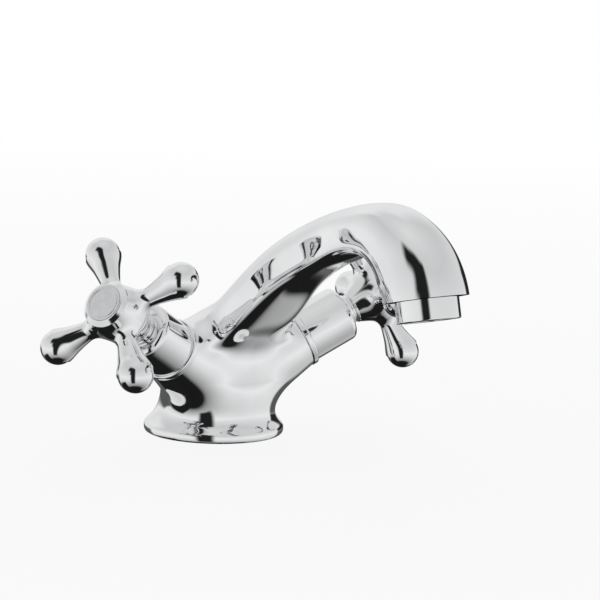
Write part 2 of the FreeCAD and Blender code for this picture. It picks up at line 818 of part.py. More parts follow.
def headpart_washer(name, side):
    body = new_body("headpart_washer_" + name, valve_place(side))
    turned(body, "washer", ring(d.washer_inner, d.washer_outer, d.boss_face, HEX_LOW))


def spindle_clip(name, side, turn):
    """A snap ring, open on one side, in the spindle's outer groove."""
    body = new_body("spindle_clip_" + name, valve_place(side, 0.0, turn))
    low = d.headpart_end + d.face_clearance + d.face_clearance / 2
    inner = d.spindle_radius - d.clip_groove_depth + d.seat_clearance
    turned(body, "clip", ring(inner, d.clip_radius, low, low + d.clip_thickness))
    sketch = new_sketch(body, "mouth_outline", "XY_Plane", low - d.overrun)
    half = d.clip_gap / 2
    draw(sketch, [(NONE, -half), (d.clip_radius + d.overrun, -half),
                  (d.clip_radius + d.overrun, half), (NONE, half)])
    sunk(body, "mouth", sketch, d.clip_thickness + d.overrun * 2, True)


def collar_ring(name, side):
    body = new_body("collar_ring_" + name, valve_place(side))
    turned(body, "collar", ring(d.collar_inner, d.collar_radius, d.boss_face, COLLAR_TOP))
    rounded(body, "collar_lip", d.collar_round,
            round_edges(body, d.collar_radius, COLLAR_TOP) + round_edges(body, d.collar_radius, d.boss_face))


def bonnet(name, side):
    """The chromed shroud that screws down over the headpart."""
    body = new_body("bonnet_" + name, valve_place(side))
    inner = d.bonnet_radius - d.bonnet_wall
    grip = d.headpart_neck_radius + d.thread_clearance
    crown = d.bonnet_end - d.bonnet_top_wall
    turned(body, "shroud", [
        (inner, COLLAR_TOP),
        (d.bonnet_radius, COLLAR_TOP),
        (d.bonnet_radius, d.bonnet_end),
        (d.bonnet_lip, d.bonnet_end),
        (d.bonnet_lip, crown),
        (grip, crown),
        (grip, crown - d.bonnet_grip_length),
        (inner, crown - d.bonnet_grip_length),
    ])
    rounded(body, "shoulder", d.bonnet_round, round_edges(body, d.bonnet_radius, d.bonnet_end))


def handle(name, side, turn):
    """The crosshead: a turned hub with four pear-shaped arms, drawn about its own centre."""
    body = new_body("handle_" + name, valve_place(side, float(d.handle_centre), turn))
    tail = d.bonnet_end + d.hub_gap - d.handle_centre
    waist = tail + d.hub_tail_length
    turned(body, "hub", [
        (NONE, tail),
        (d.hub_tail_radius, tail),
        (d.hub_tail_radius, waist),
        (d.hub_back_radius, waist),
        (d.hub_radius, NONE),
        (d.hub_front_radius, d.hub_front),
        (NONE, d.hub_front),
    ], {3: (d.hub_flank_radius, 1), 4: (d.hub_front_flank_radius, 1)})
    arm = new_sketch(body, "arm_outline", "XZ_Plane")
    slope = (d.ball_radius - d.arm_neck_radius) / (d.arm_length - d.arm_neck_place)
    touch = d.arm_length - d.ball_radius * slope
    draw(arm, [
        (d.arm_root_place, NONE),
        (d.arm_length + d.ball_radius, NONE),
        (touch, d.ball_radius * (as_size(1) - slope * slope / 2)),
        (d.arm_neck_place, d.arm_neck_radius),
        (d.arm_root_place, d.arm_root_radius),
    ], {1: (d.ball_radius, 1), 2: (d.arm_flare_radius, -1), 3: (d.arm_root_bend_radius, -1)})
    arm_form = body.newObject("PartDesign::Revolution", "arm")
    arm_form.Profile = arm
    arm_form.ReferenceAxis = (arm, ["H_Axis"])
    arm_form.Angle = 360
    doc.recompute()
    arms = body.newObject("PartDesign::PolarPattern", "arms")
    arms.Originals = [arm_form]
    arms.Axis = ([item for item in body.Origin.OriginFeatures if item.Role == "Z_Axis"][0], [""])
    arms.Angle = 360
    arms.Occurrences = 4
    body.Tip = arms
    doc.recompute()
    cup = new_sketch(body, "cup_outline", "XY_Plane", d.hub_front + d.overrun)
    draw_circle(cup, NONE, NONE, d.cup_radius)
    cup_floor = d.spindle_end + d.handle_floor - d.handle_centre
    sunk(body, "cup", cup, d.hub_front + d.overrun - cup_floor, False)
    socket = new_sketch(body, "socket_outline", "XY_Plane", tail - d.overrun)
    half = d.square_width / 2 + d.socket_clearance
    draw(socket, [(-half, -half), (half, -half), (half, half), (-half, half)])
    sunk(body, "socket", socket, d.spindle_end - d.handle_centre - tail + d.overrun, True)
    bore = new_sketch(body, "stem_bore_outline", "XY_Plane", tail - d.overrun)
    draw_circle(bore, NONE, NONE, d.spindle_radius + d.socket_clearance)
    sunk(body, "stem_bore", bore, d.square_start - d.handle_centre - tail + d.overrun, True)
    hole = new_sketch(body, "screw_hole_outline", "XY_Plane", -d.overrun)
    draw_circle(hole, NONE, NONE, d.screw_radius + d.screw_clearance)
    sunk(body, "screw_hole", hole, cup_floor + d.overrun * 2, True)


def handle_screw(name, side, turn):
    body = new_body("handle_screw_" + name, valve_place(side, 0.0, turn))
    seat = d.spindle_end + d.handle_floor
    top = seat + d.screw_head_height
    turned(body, "screw", [
        (NONE, seat - d.screw_length),
        (d.screw_radius, seat - d.screw_length),
        (d.screw_radius, seat),
        (d.screw_head_radius, seat),
        (d.screw_head_radius, top),
        (NONE, top),
    ])
    slot = new_sketch(body, "slot_outline", "XY_Plane", top + d.overrun)
    half = d.screw_slot_width / 2
    reach = d.screw_head_radius + d.overrun
    draw(slot, [(-reach, -half), (reach, -half), (reach, half), (-reach, half)])
    sunk(body, "slot", slot, d.screw_slot_depth + d.overrun, False)


def index_cap(name, side, turn):
    """The bevelled chrome cap that plugs the hub and holds the index disc."""
    body = new_body("index_cap_" + name, valve_place(side, 0.0, turn))
    low = d.handle_centre + d.hub_front
    top = low + d.cap_height
    plug = d.cup_radius - d.seat_clearance
    pocket_floor = top - d.index_thickness + d.index_stand
    pocket = d.disc_face_radius + d.seat_clearance
    turned(body, "cap", [
        (NONE, pocket_floor - d.cap_rim),
        (plug - d.cap_plug_wall, pocket_floor - d.cap_rim),
        (plug - d.cap_plug_wall, low - d.cap_plug_depth),
        (plug, low - d.cap_plug_depth),
        (plug, low),
        (d.cap_radius, low),
        (d.cap_radius, low + d.cap_rim),
        (pocket + d.cap_rim / 2, top),
        (pocket, top),
        (pocket, pocket_floor),
        (NONE, pocket_floor),
    ])


def index_disc(name, side, turn):
    body = new_body("index_disc_" + name, valve_place(side, 0.0, turn))
    low = d.handle_centre + d.hub_front + d.cap_height - d.index_thickness + d.index_stand
    top = low + d.index_thickness
    floor = top - d.index_groove_depth
    turned(body, "disc", [
        (NONE, low),
        (d.disc_face_radius, low),
        (d.disc_face_radius, top),
        (d.index_groove_radius + d.index_groove_width, top),
        (d.index_groove_radius + d.index_groove_width, floor),
        (d.index_groove_radius, floor),
        (d.index_groove_radius, top),
        (NONE, top),
    ])


def aerator_housing():
    body = new_body("aerator_housing", OUTLET_PLACE)
    turned(body, "housing", [
        (d.aerator_lip_bore, NONE),
        (d.aerator_radius, NONE),
        (d.aerator_radius, d.aerator_height),
        (d.aerator_thread_radius, d.aerator_height),
        (d.aerator_thread_radius, d.aerator_height + d.aerator_thread_length),
        (d.aerator_bore, d.aerator_height + d.aerator_thread_length),
        (d.aerator_bore, d.aerator_lip),
        (d.aerator_lip_bore, d.aerator_lip),
    ])
    rounded(body, "lip", d.aerator_round, round_edges(body, d.aerator_radius, NONE))


def aerator_insert():
    """The plastic jet cup: a rim, a floor with a ring of holes and a solid core."""
    body = new_body("aerator_insert", OUTLET_PLACE)
    outer = d.aerator_bore - d.seat_clearance
    low = d.aerator_lip
    top = low + d.insert_height
    turned(body, "cup", [
        (NONE, low),
        (outer, low),
        (outer, top),
        (outer - d.insert_wall, top),
        (outer - d.insert_wall, low + d.insert_floor),
        (d.insert_core_radius, low + d.insert_floor),
        (d.insert_core_radius, top - d.insert_floor),
        (NONE, top - d.insert_floor),
    ])
    hole = new_sketch(body, "hole_outline", "XY_Plane", low - d.overrun)
    draw_circle(hole, d.insert_hole_ring, NONE, d.insert_hole_radius)
    first = sunk(body, "hole", hole, d.insert_floor + d.overrun * 2, True)
    holes = body.newObject("PartDesign::PolarPattern", "holes")
    holes.Originals = [first]
    holes.Axis = ([item for item in body.Origin.OriginFeatures if item.Role == "Z_Axis"][0], [""])
    holes.Angle = 360
    holes.Occurrences = int(float(d.insert_hole_count))
    body.Tip = holes


def aerator_screen():
    body = new_body("aerator_screen", OUTLET_PLACE)
    low = d.aerator_lip + d.insert_height
    turned(body, "screen", [
        (NONE, low),
        (d.aerator_bore - d.seat_clearance, low),
        (d.aerator_bore - d.seat_clearance, low + d.screen_thickness),
        (NONE, low + d.screen_thickness),
    ])


def aerator_washer():
    body = new_body("aerator_washer", OUTLET_PLACE)
    low = d.aerator_height + d.aerator_thread_length
    turned(body, "washer", ring(d.washer_bore, d.aerator_thread_radius, low, low + d.washer_height))


body_casting()
base_gasket()
for side_name, side_sign in SIDES:
    handle_turn = float(d.near_turn_angle if side_sign < 0 else d.far_turn_angle)
    seat_seal(side_name, side_sign)
    fixed_disc(side_name, side_sign, handle_turn)
    moving_disc(side_name, side_sign, handle_turn)
    spindle(side_name, side_sign, handle_turn)
    spindle_rings(side_name, side_sign, handle_turn)
    headpart(side_name, side_sign)
    headpart_washer(side_name, side_sign)
    spindle_clip(side_name, side_sign, handle_turn)
    collar_ring(side_name, side_sign)
    bonnet(side_name, side_sign)
    handle(side_name, side_sign, handle_turn)
    handle_screw(side_name, side_sign, handle_turn)
    index_cap(side_name, side_sign, handle_turn)
    index_disc(side_name, side_sign, handle_turn)
aerator_housing()
aerator_insert()
aerator_screen()
aerator_washer()
doc.recompute()

for item in doc.Objects:
    if "Invalid" in item.State or "Error" in item.State:
        raise RuntimeError("%s is in state %s" % (item.Label, item.State))
os.makedirs("parts", exist_ok=True)
for piece in pieces:
    shape = piece.Shape
    if shape.isNull() or not shape.isValid():
        raise RuntimeError("%s has no valid shape" % piece.Label)
for piece in pieces:
    piece.Shape.exportStep("parts/%s.step" % piece.Label)
    print(piece.Label, len(piece.Shape.Solids), round(piece.Shape.Volume, 1))
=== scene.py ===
import json
import math

import bmesh
import bpy
import numpy as np
from mathutils import Matrix, Vector


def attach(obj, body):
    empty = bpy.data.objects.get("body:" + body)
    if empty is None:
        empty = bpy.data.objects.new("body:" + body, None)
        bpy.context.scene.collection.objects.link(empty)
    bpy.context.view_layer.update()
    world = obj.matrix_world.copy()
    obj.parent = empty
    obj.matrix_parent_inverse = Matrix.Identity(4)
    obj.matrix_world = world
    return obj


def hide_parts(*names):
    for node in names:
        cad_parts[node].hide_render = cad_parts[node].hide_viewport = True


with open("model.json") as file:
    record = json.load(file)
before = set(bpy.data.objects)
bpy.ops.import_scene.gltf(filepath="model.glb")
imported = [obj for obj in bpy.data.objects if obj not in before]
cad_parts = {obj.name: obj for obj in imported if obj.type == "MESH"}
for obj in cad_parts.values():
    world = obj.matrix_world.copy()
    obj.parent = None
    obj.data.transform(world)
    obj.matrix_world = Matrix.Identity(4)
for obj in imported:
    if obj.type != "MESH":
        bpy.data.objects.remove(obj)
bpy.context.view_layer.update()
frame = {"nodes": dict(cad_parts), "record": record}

# The shapes are worked out in millimetres, in the CAD's frame: +Z up, the spout
# to -Y, the hot valve on -X. MM turns them into Blender's metres.
MM = 0.001
TO_METRES = Matrix.Scale(MM, 4)

# The foot and the outlet, then the two arcs of the spine that the spout is swept along:
# the radius of the bend and the degrees that it turns.
FOOT_RADIUS = 26.0
OUTLET_REACH, OUTLET_HEIGHT, OUTLET_TILT = 115.1, 56.7, 13.0
AERATOR_HEIGHT = 7.3
HOOD_BEND, HOOD_TURN = 25.47, 89.75
NECK_BEND, NECK_TURN = 111.26, 35.2

# The valves: their axes cross inside the trunk and rise to both sides.
CROSS = np.array([0.0, -1.9, 17.5])
VALVE_RISE, VALVE_SWEEP = math.radians(28.27), math.radians(18.74)
BOSS_FACE, BOSS_RADIUS = 35.0, 11.3
HANDLE_CENTRE = 70.0
HANDLE_TURNS = {"left": 35.65, "right": 87.86}
SIDES = {"left": -1, "right": 1}
HANDLE_BODY = {"left": "hot_handle", "right": "cold_handle"}


# Number helpers
def smooth_step(x):
    """From 0 to 1 as x goes from 0 to 1, level at both ends."""
    x = np.clip(x, 0.0, 1.0)
    return x * x * (3 - 2 * x)


def soft_min(a, b, width):
    """The smaller of two fields, rounded where they meet."""
    share = np.clip(1 - np.abs(a - b) / width, 0, None)
    return np.minimum(a, b) - share ** 3 * width / 6


def spline(knots, values, at):
    """A natural cubic spline through values at knots, read at the places in at."""
    knots, values = np.asarray(knots, float), np.asarray(values, float)
    count, gaps = len(knots), np.diff(knots)[:, None]
    matrix, right = np.eye(count), np.zeros_like(values)
    for i in range(1, count - 1):
        before, after = gaps[i - 1, 0], gaps[i, 0]
        matrix[i, i - 1:i + 2] = before, 2 * (before + after), after
        right[i] = 6 * ((values[i + 1] - values[i]) / after - (values[i] - values[i - 1]) / before)
    bend = np.linalg.solve(matrix, right)
    i = np.clip(np.searchsorted(knots, at) - 1, 0, count - 2)
    done, left, gap = (at - knots[i])[:, None], (knots[i + 1] - at)[:, None], gaps[i]
    return ((bend[i] * left ** 3 + bend[i + 1] * done ** 3) / (6 * gap)
            + (values[i] / gap - bend[i] * gap / 6) * left
            + (values[i + 1] / gap - bend[i + 1] * gap / 6) * done)


def outward(lean):
    """Outward normal in the plane (y, z) of a spine that leans so many degrees from +Y."""
    a = math.radians(lean)
    return np.array([math.sin(a), -math.cos(a)])


# Places of the valves and the outlet
def valve_axes(side):
    """Level, outward-and-down and outward directions of a valve."""
    out = np.array([side * math.cos(VALVE_RISE) * math.cos(VALVE_SWEEP),
                    -math.cos(VALVE_RISE) * math.sin(VALVE_SWEEP), math.sin(VALVE_RISE)])
    level = np.cross(out, (0, 0, 1))
    level /= np.linalg.norm(level)
    return level, np.cross(out, level), out


def valve_matrix(side, along=0.0, turn=0.0):
    """Millimetres on the valve's own axis to metres in the frame."""
    level, down, out = valve_axes(side)
    c, s = math.cos(math.radians(turn)), math.sin(math.radians(turn))
    columns = (c * level + s * down, c * down - s * level, out)
    place = CROSS + out * along
    rows = [[columns[k][r] * MM for k in range(3)] + [place[r] * MM] for r in range(3)]
    return Matrix(rows + [[0, 0, 0, 1]])


tilt = math.radians(OUTLET_TILT)
OUTLET_UP = np.array([0, math.sin(tilt), math.cos(tilt)])
OUTLET = np.array([0, -OUTLET_REACH, OUTLET_HEIGHT])
HOOD_FACE = OUTLET + OUTLET_UP * AERATOR_HEIGHT


def outlet_matrix():
    """Millimetres on the outlet's own axis to metres in the frame."""
    x = np.array([1.0, 0, 0])
    y = np.cross(OUTLET_UP, x)
    rows = [[v[r] * MM for v in (x, y, OUTLET_UP)] + [OUTLET[r] * MM] for r in range(3)]
    return Matrix(rows + [[0, 0, 0, 1]])


# The casting's form

# Two forms are swept along one spine: the spout, and the trunk beneath it. A section has
# eight sizes: half width, top depth, underside depth, top power and underside power of
# the spout, then half width, half depth and power of the trunk. A power of 2 gives an
# oval, a higher one is squarer. Trunk sections begin with their place (y, z), those of
# the neck and the hood with their share of its arc.
TRUNK_SECTIONS = [
    (0.0, -6.0, 12.0, 10.0, 6.0, 2.0, 2.0, 20.8, 20.8, 2.0),
    (0.0, 3.0, 12.0, 10.0, 6.0, 2.0, 2.0, 20.8, 20.8, 2.0),
    (-2.2, 13.0, 12.0, 12.0, 6.0, 2.0, 2.0, 20.3, 20.3, 2.0),
    (-5.0, 27.0, 13.0, 16.0, 6.0, 2.0, 2.5, 17.0, 18.0, 2.2),
    (-12.7, 39.4, 13.6, 11.43, 8.0, 2.3, 5.0, 14.3, 11.43, 2.9),
]
NECK_SECTIONS = [
    (0.0, 13.75, 9.1, 8.6, 3.1, 6.5, 13.5, 9.4, 3.8),
    (0.3, 11.25, 8.95, 8.7, 2.98, 6.5, 10.9, 9.2, 4.6),
    (0.65, 8.3, 8.6, 8.6, 2.84, 6.5, 7.9, 8.8, 4.6),
    (1.0, 10.5, 8.14, 8.14, 2.7, 6.5, 5.0, 7.0, 3.0),
]
HOOD_SECTIONS = [
    (0.25, 11.43, 9.22, 9.22, 2.675, 5.5, 2.0, 2.0, 2.0),
    (0.5, 12.36, 10.3, 10.3, 2.45, 4.5, 2.0, 2.0, 2.0),
    (0.75, 13.15, 12.29, 12.29, 2.225, 3.5, 2.0, 2.0, 2.0),
]
HOOD_END = (13.94, 14.12, 14.28, 2.0, 2.0, 2.0, 2.0, 2.0)
HOOD_COLLAR, HOOD_OVERRUN = 1.0, 6.0
(SPOUT_WIDTH, TOP_DEPTH, UNDER_DEPTH, TOP_POWER, UNDER_POWER,
 TRUNK_WIDTH, TRUNK_DEPTH, TRUNK_POWER) = range(8)


def spine_sections():
    """Rows of y, z and the eight sizes, from below the foot to beyond the outlet."""
    lean = 270 - OUTLET_TILT
    face = HOOD_FACE[1:]
    end = face + OUTLET_UP[1:] * HOOD_COLLAR
    hood_centre = end - outward(lean) * HOOD_BEND
    crown_lean = lean - HOOD_TURN
    crown = hood_centre + outward(crown_lean) * HOOD_BEND
    neck_centre = crown - outward(crown_lean) * NECK_BEND
    root_lean = crown_lean - NECK_TURN
    rows = list(TRUNK_SECTIONS)
    for share, *sizes in NECK_SECTIONS:
        place = neck_centre + outward(root_lean + NECK_TURN * share) * NECK_BEND
        rows.append((*place, *sizes))
    for share, *sizes in HOOD_SECTIONS:
        place = hood_centre + outward(crown_lean + HOOD_TURN * share) * HOOD_BEND
        rows.append((*place, *sizes))
    rows.append((*end, *HOOD_END))
    rows.append((*(face - OUTLET_UP[1:] * HOOD_OVERRUN), *HOOD_END))
    return np.array(rows)


# The spine is sampled closely. A row of the table holds a sample's place (y, z), its
# eight sizes, way of flow, outward normal and bend.
SAMPLE_COUNT = 3600
sections = spine_sections()
lengths = np.r_[0, np.cumsum(np.linalg.norm(np.diff(sections[:, :2], axis=0), axis=1))]
samples, SPACING = np.linspace(0, lengths[-1], SAMPLE_COUNT, retstep=True)
SWEEP = spline(lengths, sections, samples)
SWEEP_WAY = np.gradient(SWEEP[:, :2], axis=0)
SWEEP_WAY /= np.linalg.norm(SWEEP_WAY, axis=1)[:, None]
SWEEP_OUT = np.stack([SWEEP_WAY[:, 1], -SWEEP_WAY[:, 0]], 1)
SWEEP_BEND = (np.gradient(SWEEP_WAY, axis=0) * SWEEP_OUT).sum(1)
SWEEP_TABLE = np.column_stack([SWEEP, SWEEP_WAY, SWEEP_OUT, SWEEP_BEND])
SIZE_COLUMNS, WAY_COLUMNS, OUT_COLUMNS, BEND_COLUMN = slice(2, 10), slice(10, 12), slice(12, 14), 14

# The search for the nearest sample: the first look takes every eighth one, then a few
# rounds close in on the exact place, which lies before LAST. Points are handled in
# blocks to save memory.
COARSE, SEARCH_ROUNDS, LEAST_STRETCH = 8, 4, 0.2
LAST = SAMPLE_COUNT - 1.001
BLOCK = 20000


def nearest_on_spine(yz):
    """For points (y, z): height over the spine and the sweep's sizes there."""
    rise, sizes = np.empty(len(yz)), np.empty((len(yz), 8))
    coarse = SWEEP[::COARSE, :2]
    for first in range(0, len(yz), BLOCK):
        block = yz[first:first + BLOCK]
        far = (coarse ** 2).sum(1)[None] - 2 * block @ coarse.T
        at = far.argmin(1) * float(COARSE)
        for turn in range(SEARCH_ROUNDS):
            at = np.clip(at, 0, LAST)
            low = at.astype(int)
            share = (at - low)[:, None]
            row = SWEEP_TABLE[low] * (1 - share) + SWEEP_TABLE[low + 1] * share
            offset = block - row[:, :2]
            height = (offset * row[:, OUT_COLUMNS]).sum(1)
            ahead = (offset * row[:, WAY_COLUMNS]).sum(1) / SPACING
            stretch = np.maximum(1 - height * row[:, BEND_COLUMN] / SPACING, LEAST_STRETCH)
            at = at + np.clip(ahead / stretch, -COARSE, COARSE)
        sizes[first:first + BLOCK] = row[:, SIZE_COLUMNS]
        rise[first:first + BLOCK] = height
    return rise, sizes


LEAST_REACH = 1e-3


def section_field(x, rise, width, depth, power):
    """Distance along the ray from the middle to a rounded section."""
    reach = ((np.abs(x) / width) ** power + (np.abs(rise) / depth) ** power) ** (1 / power)
    return np.hypot(x, rise) * (1 - 1 / np.maximum(reach, LEAST_REACH))


def spout_field(x, rise, sizes):
    """The spout's section, which has one depth and power above and another below."""
    top = rise >= 0
    depth = np.where(top, sizes[..., TOP_DEPTH], sizes[..., UNDER_DEPTH])
    power = np.where(top, sizes[..., TOP_POWER], sizes[..., UNDER_POWER])
    return section_field(x, rise, sizes[..., SPOUT_WIDTH], depth, power)


# The bosses are cones along the valves, and a web, the bridge, lies over both. Its middle
# oval has its place as (y, z) and its half sizes as depth and height. BOSS_SLOPE makes up
# for the cone field's steepness.
BOSS_TAPER, BOSS_ROOT, BOSS_ROOT_EASE, BOSS_SLOPE = 0.186, 8.0, 16.0, 0.98
BEYOND_FACE = 2.0
BRIDGE_MIDDLE = np.array([-9.5, 40.0])
BRIDGE_HALF = np.array([10.5, 6.2])
BRIDGE_INSET, BRIDGE_WIDEST, BRIDGE_OVERRUN = 2.0, 1.2, 1.6
BRIDGE_ROUNDS, LEAST_TIP = 4, 12.0
RIGHT_OUT = valve_axes(1)[2]
BOSS_END = CROSS + RIGHT_OUT * BOSS_FACE
BACKWARD = valve_axes(1)[0] * np.sign(valve_axes(1)[0][1])
UPWARD = np.cross(RIGHT_OUT, BACKWARD)


def boss_field(x, y, z):
    """A cone along the valve, rounded at its hidden end; both sides are alike."""
    dx, dy, dz = np.abs(x) - CROSS[0], y - CROSS[1], z - CROSS[2]
    along = dx * RIGHT_OUT[0] + dy * RIGHT_OUT[1] + dz * RIGHT_OUT[2]
    across = np.sqrt(np.maximum(dx ** 2 + dy ** 2 + dz ** 2 - along ** 2, 0))
    ahead = along - BOSS_ROOT
    ahead = (ahead + np.sqrt(ahead ** 2 + BOSS_ROOT_EASE)) / 2
    radius = BOSS_RADIUS + (BOSS_FACE - BOSS_ROOT - ahead) * BOSS_TAPER
    cone = (np.hypot(across, along - BOSS_ROOT - ahead) - radius) * BOSS_SLOPE
    return np.maximum(cone, along - BOSS_FACE - BEYOND_FACE)


def bridge_field(x, y, z):
    """The web over both bosses: an oval in the middle, a circle at each boss face."""
    x = np.abs(x)
    t = x / BOSS_END[0]
    for turn in range(BRIDGE_ROUNDS):
        dy = y - BRIDGE_MIDDLE[0] - (BOSS_END[1] - BRIDGE_MIDDLE[0]) * t ** 2
        dz = z - BRIDGE_MIDDLE[1] - (BOSS_END[2] - BRIDGE_MIDDLE[1]) * t ** 2
        tip = (RIGHT_OUT[1] * dy + RIGHT_OUT[2] * dz) / RIGHT_OUT[0]
        t = np.clip(x / np.maximum(BOSS_END[0] - tip, LEAST_TIP), 0, BRIDGE_OVERRUN)
    dx = -t * tip
    share = t ** 2
    back = [BACKWARD[0] * share, 1 + (BACKWARD[1] - 1) * share, BACKWARD[2] * share]
    rise = [UPWARD[0] * share, UPWARD[1] * share, 1 + (UPWARD[2] - 1) * share]
    across = dx * back[0] + dy * back[1] + dz * back[2]
    upward = dx * rise[0] + dy * rise[1] + dz * rise[2]
    widening = np.minimum(share, BRIDGE_WIDEST)
    half = [a + (BOSS_RADIUS - BRIDGE_INSET - a) * widening for a in BRIDGE_HALF]
    beyond = (x * RIGHT_OUT[0] + (y - CROSS[1]) * RIGHT_OUT[1] + (z - CROSS[2]) * RIGHT_OUT[2]
              - BOSS_FACE - BEYOND_FACE)
    return np.maximum(section_field(across, upward, half[0], half[1], 2.0), beyond)


# The foot's flare is an arc between two places (radius, height).
FOOT_TOP, FOOT_OVERRUN = 14.0, 0.05
RIM_BLEND, FLARE_BLEND, FOOT_TOP_BLEND = 2.4, 1.2, 1.0
FLARE_LOW, FLARE_HIGH, FLARE_BEND = (FOOT_RADIUS, 3.2), (18.0, FOOT_TOP), 26.0
chord = np.subtract(FLARE_HIGH, FLARE_LOW)
sideways = np.array([chord[1], -chord[0]]) / np.hypot(*chord)
FLARE_CENTRE = (np.add(FLARE_HIGH, FLARE_LOW) / 2
                + sideways * math.sqrt(FLARE_BEND ** 2 - chord @ chord / 4))


def foot_field(x, y, z):
    """The foot's rim and its hollow flare, turned about Z."""
    across = np.hypot(x, y)
    flare = FLARE_BEND - np.hypot(across - FLARE_CENTRE[0], z - FLARE_CENTRE[1])
    rim = soft_min(FOOT_RADIUS - across, z + FOOT_OVERRUN, RIM_BLEND)
    return -soft_min(soft_min(rim, -flare, FLARE_BLEND), FOOT_TOP - z, FOOT_TOP_BLEND)


# How widely the forms flow into each other. The fold between the bosses and the spout is
# crisp, but for the back near the middle plane, where BACK_BLEND is added to it.
TRUNK_BLEND, WEB_BLEND, FOOT_BLEND, FOLD_BLEND = 11.0, 11.0, 5.0, 2.5
BACK_BLEND = 8.0
BACK_START, BACK_RUN, BACK_HALF, BACK_FADE = -10.0, 14.0, 8.0, 10.0
# Where the trunk's power rises above ROUND_POWER, its upper side loses up to this share.
ROUND_POWER, FLAT_RUN, FLAT_TOP = 2.2, 1.4, 0.5
# The hood ends just past its face, and nothing lies in front of HOOD_Y below HOOD_Z.
HOOD_NEAR, HOOD_Y, HOOD_Z, CUT_OVERRUN, EMPTY = 40.0, -80.0, 40.0, 3.0, 10.0


def casting_field(x, y, z, spine=None):
    """The whole casting: below 0 inside, above 0 outside."""
    rise, sizes = spine if spine else nearest_on_spine(np.stack([y, z], 1))
    power = sizes[..., TRUNK_POWER]
    flatness = FLAT_TOP * smooth_step((power - ROUND_POWER) / FLAT_RUN)
    depth = sizes[..., TRUNK_DEPTH] * np.where(rise > 0, 1 - flatness, 1.0)
    trunk = section_field(x, rise, sizes[..., TRUNK_WIDTH], depth, power)
    lower = soft_min(trunk, boss_field(x, y, z), TRUNK_BLEND)
    upper = soft_min(spout_field(x, rise, sizes), bridge_field(x, y, z), WEB_BLEND)
    behind = (smooth_step((y - BACK_START) / BACK_RUN)
              * (1 - smooth_step((np.abs(x) - BACK_HALF) / BACK_FADE)))
    body = soft_min(lower, upper, FOLD_BLEND + BACK_BLEND * behind)
    below_outlet = ((y - HOOD_FACE[1]) * -OUTLET_UP[1] + (z - HOOD_FACE[2]) * -OUTLET_UP[2]
                    - CUT_OVERRUN)
    near_outlet = np.hypot(y - HOOD_FACE[1], z - HOOD_FACE[2]) < HOOD_NEAR
    body = np.where(near_outlet & (y < HOOD_Y), np.maximum(body, below_outlet), body)
    body = np.where((y < HOOD_Y) & (z < HOOD_Z), EMPTY, body)
    return soft_min(body, foot_field(x, y, z), FOOT_BLEND)


# The crosshead's form
BALL_PLACE, BALL_RADIUS = 25.57, 6.15
ARM_NECK, ARM_NECK_RADIUS, ARM_ROOT = 13.0, 3.5, 12.0
ARM_SWELL_SHARE, ARM_ROOT_FLARE = 0.35, 0.045
HUB_RADIUS, HUB_BACK, HUB_FRONT = 9.5, 10.6, 8.0
HUB_BACK_DROP, HUB_BACK_POWER, HUB_FRONT_DROP = 3.2, 1.7, 1.1
BALL_BLEND, HUB_BLEND, BALL_ALONE = 2.5, 5.0, 1.0
STEM_SLOPE, HUB_SLOPE = 0.97, 0.95


def arm_radius(a):
    """An arm is thinnest at its neck, swells to the ball and flares to the hub."""
    swell = BALL_RADIUS - ARM_NECK_RADIUS
    share = (a - ARM_NECK) / (BALL_PLACE - ARM_NECK)
    line = swell * ((1 - ARM_SWELL_SHARE) * share + ARM_SWELL_SHARE * smooth_step(share))
    root = np.clip(ARM_NECK - a, 0, ARM_ROOT)
    return ARM_NECK_RADIUS + np.where(a > ARM_NECK, line, ARM_ROOT_FLARE * root ** 2)


def hub_radius(z):
    """The hub narrows to its back and a little to its front."""
    back = np.clip(-z / HUB_BACK, 0, 1)
    front = np.clip(z / HUB_FRONT, 0, 1)
    return HUB_RADIUS - HUB_BACK_DROP * back ** HUB_BACK_POWER - HUB_FRONT_DROP * front ** 2


def crosshead_field(x, y, z):
    """Four arms with balls at their ends, and the hub; alike in all four quarters."""
    a, b = np.maximum(np.abs(x), np.abs(y)), np.minimum(np.abs(x), np.abs(y))
    across = np.hypot(b, z)
    stem = (across - arm_radius(a)) * STEM_SLOPE
    ball = np.sqrt((a - BALL_PLACE) ** 2 + across ** 2) - BALL_RADIUS
    arm = np.where(a > BALL_PLACE - BALL_ALONE, ball, soft_min(stem, ball, BALL_BLEND))
    hub = (np.hypot(x, y) - hub_radius(z)) * HUB_SLOPE
    return soft_min(arm, hub, HUB_BLEND)


# Meshing a field
CORNERS = np.array([(i, j, k) for i in (0, 1) for j in (0, 1) for k in (0, 1)])
CELL_EDGES = [(a, b) for a in range(8) for b in range(a + 1, 8)
              if np.abs(CORNERS[a] - CORNERS[b]).sum() == 1]


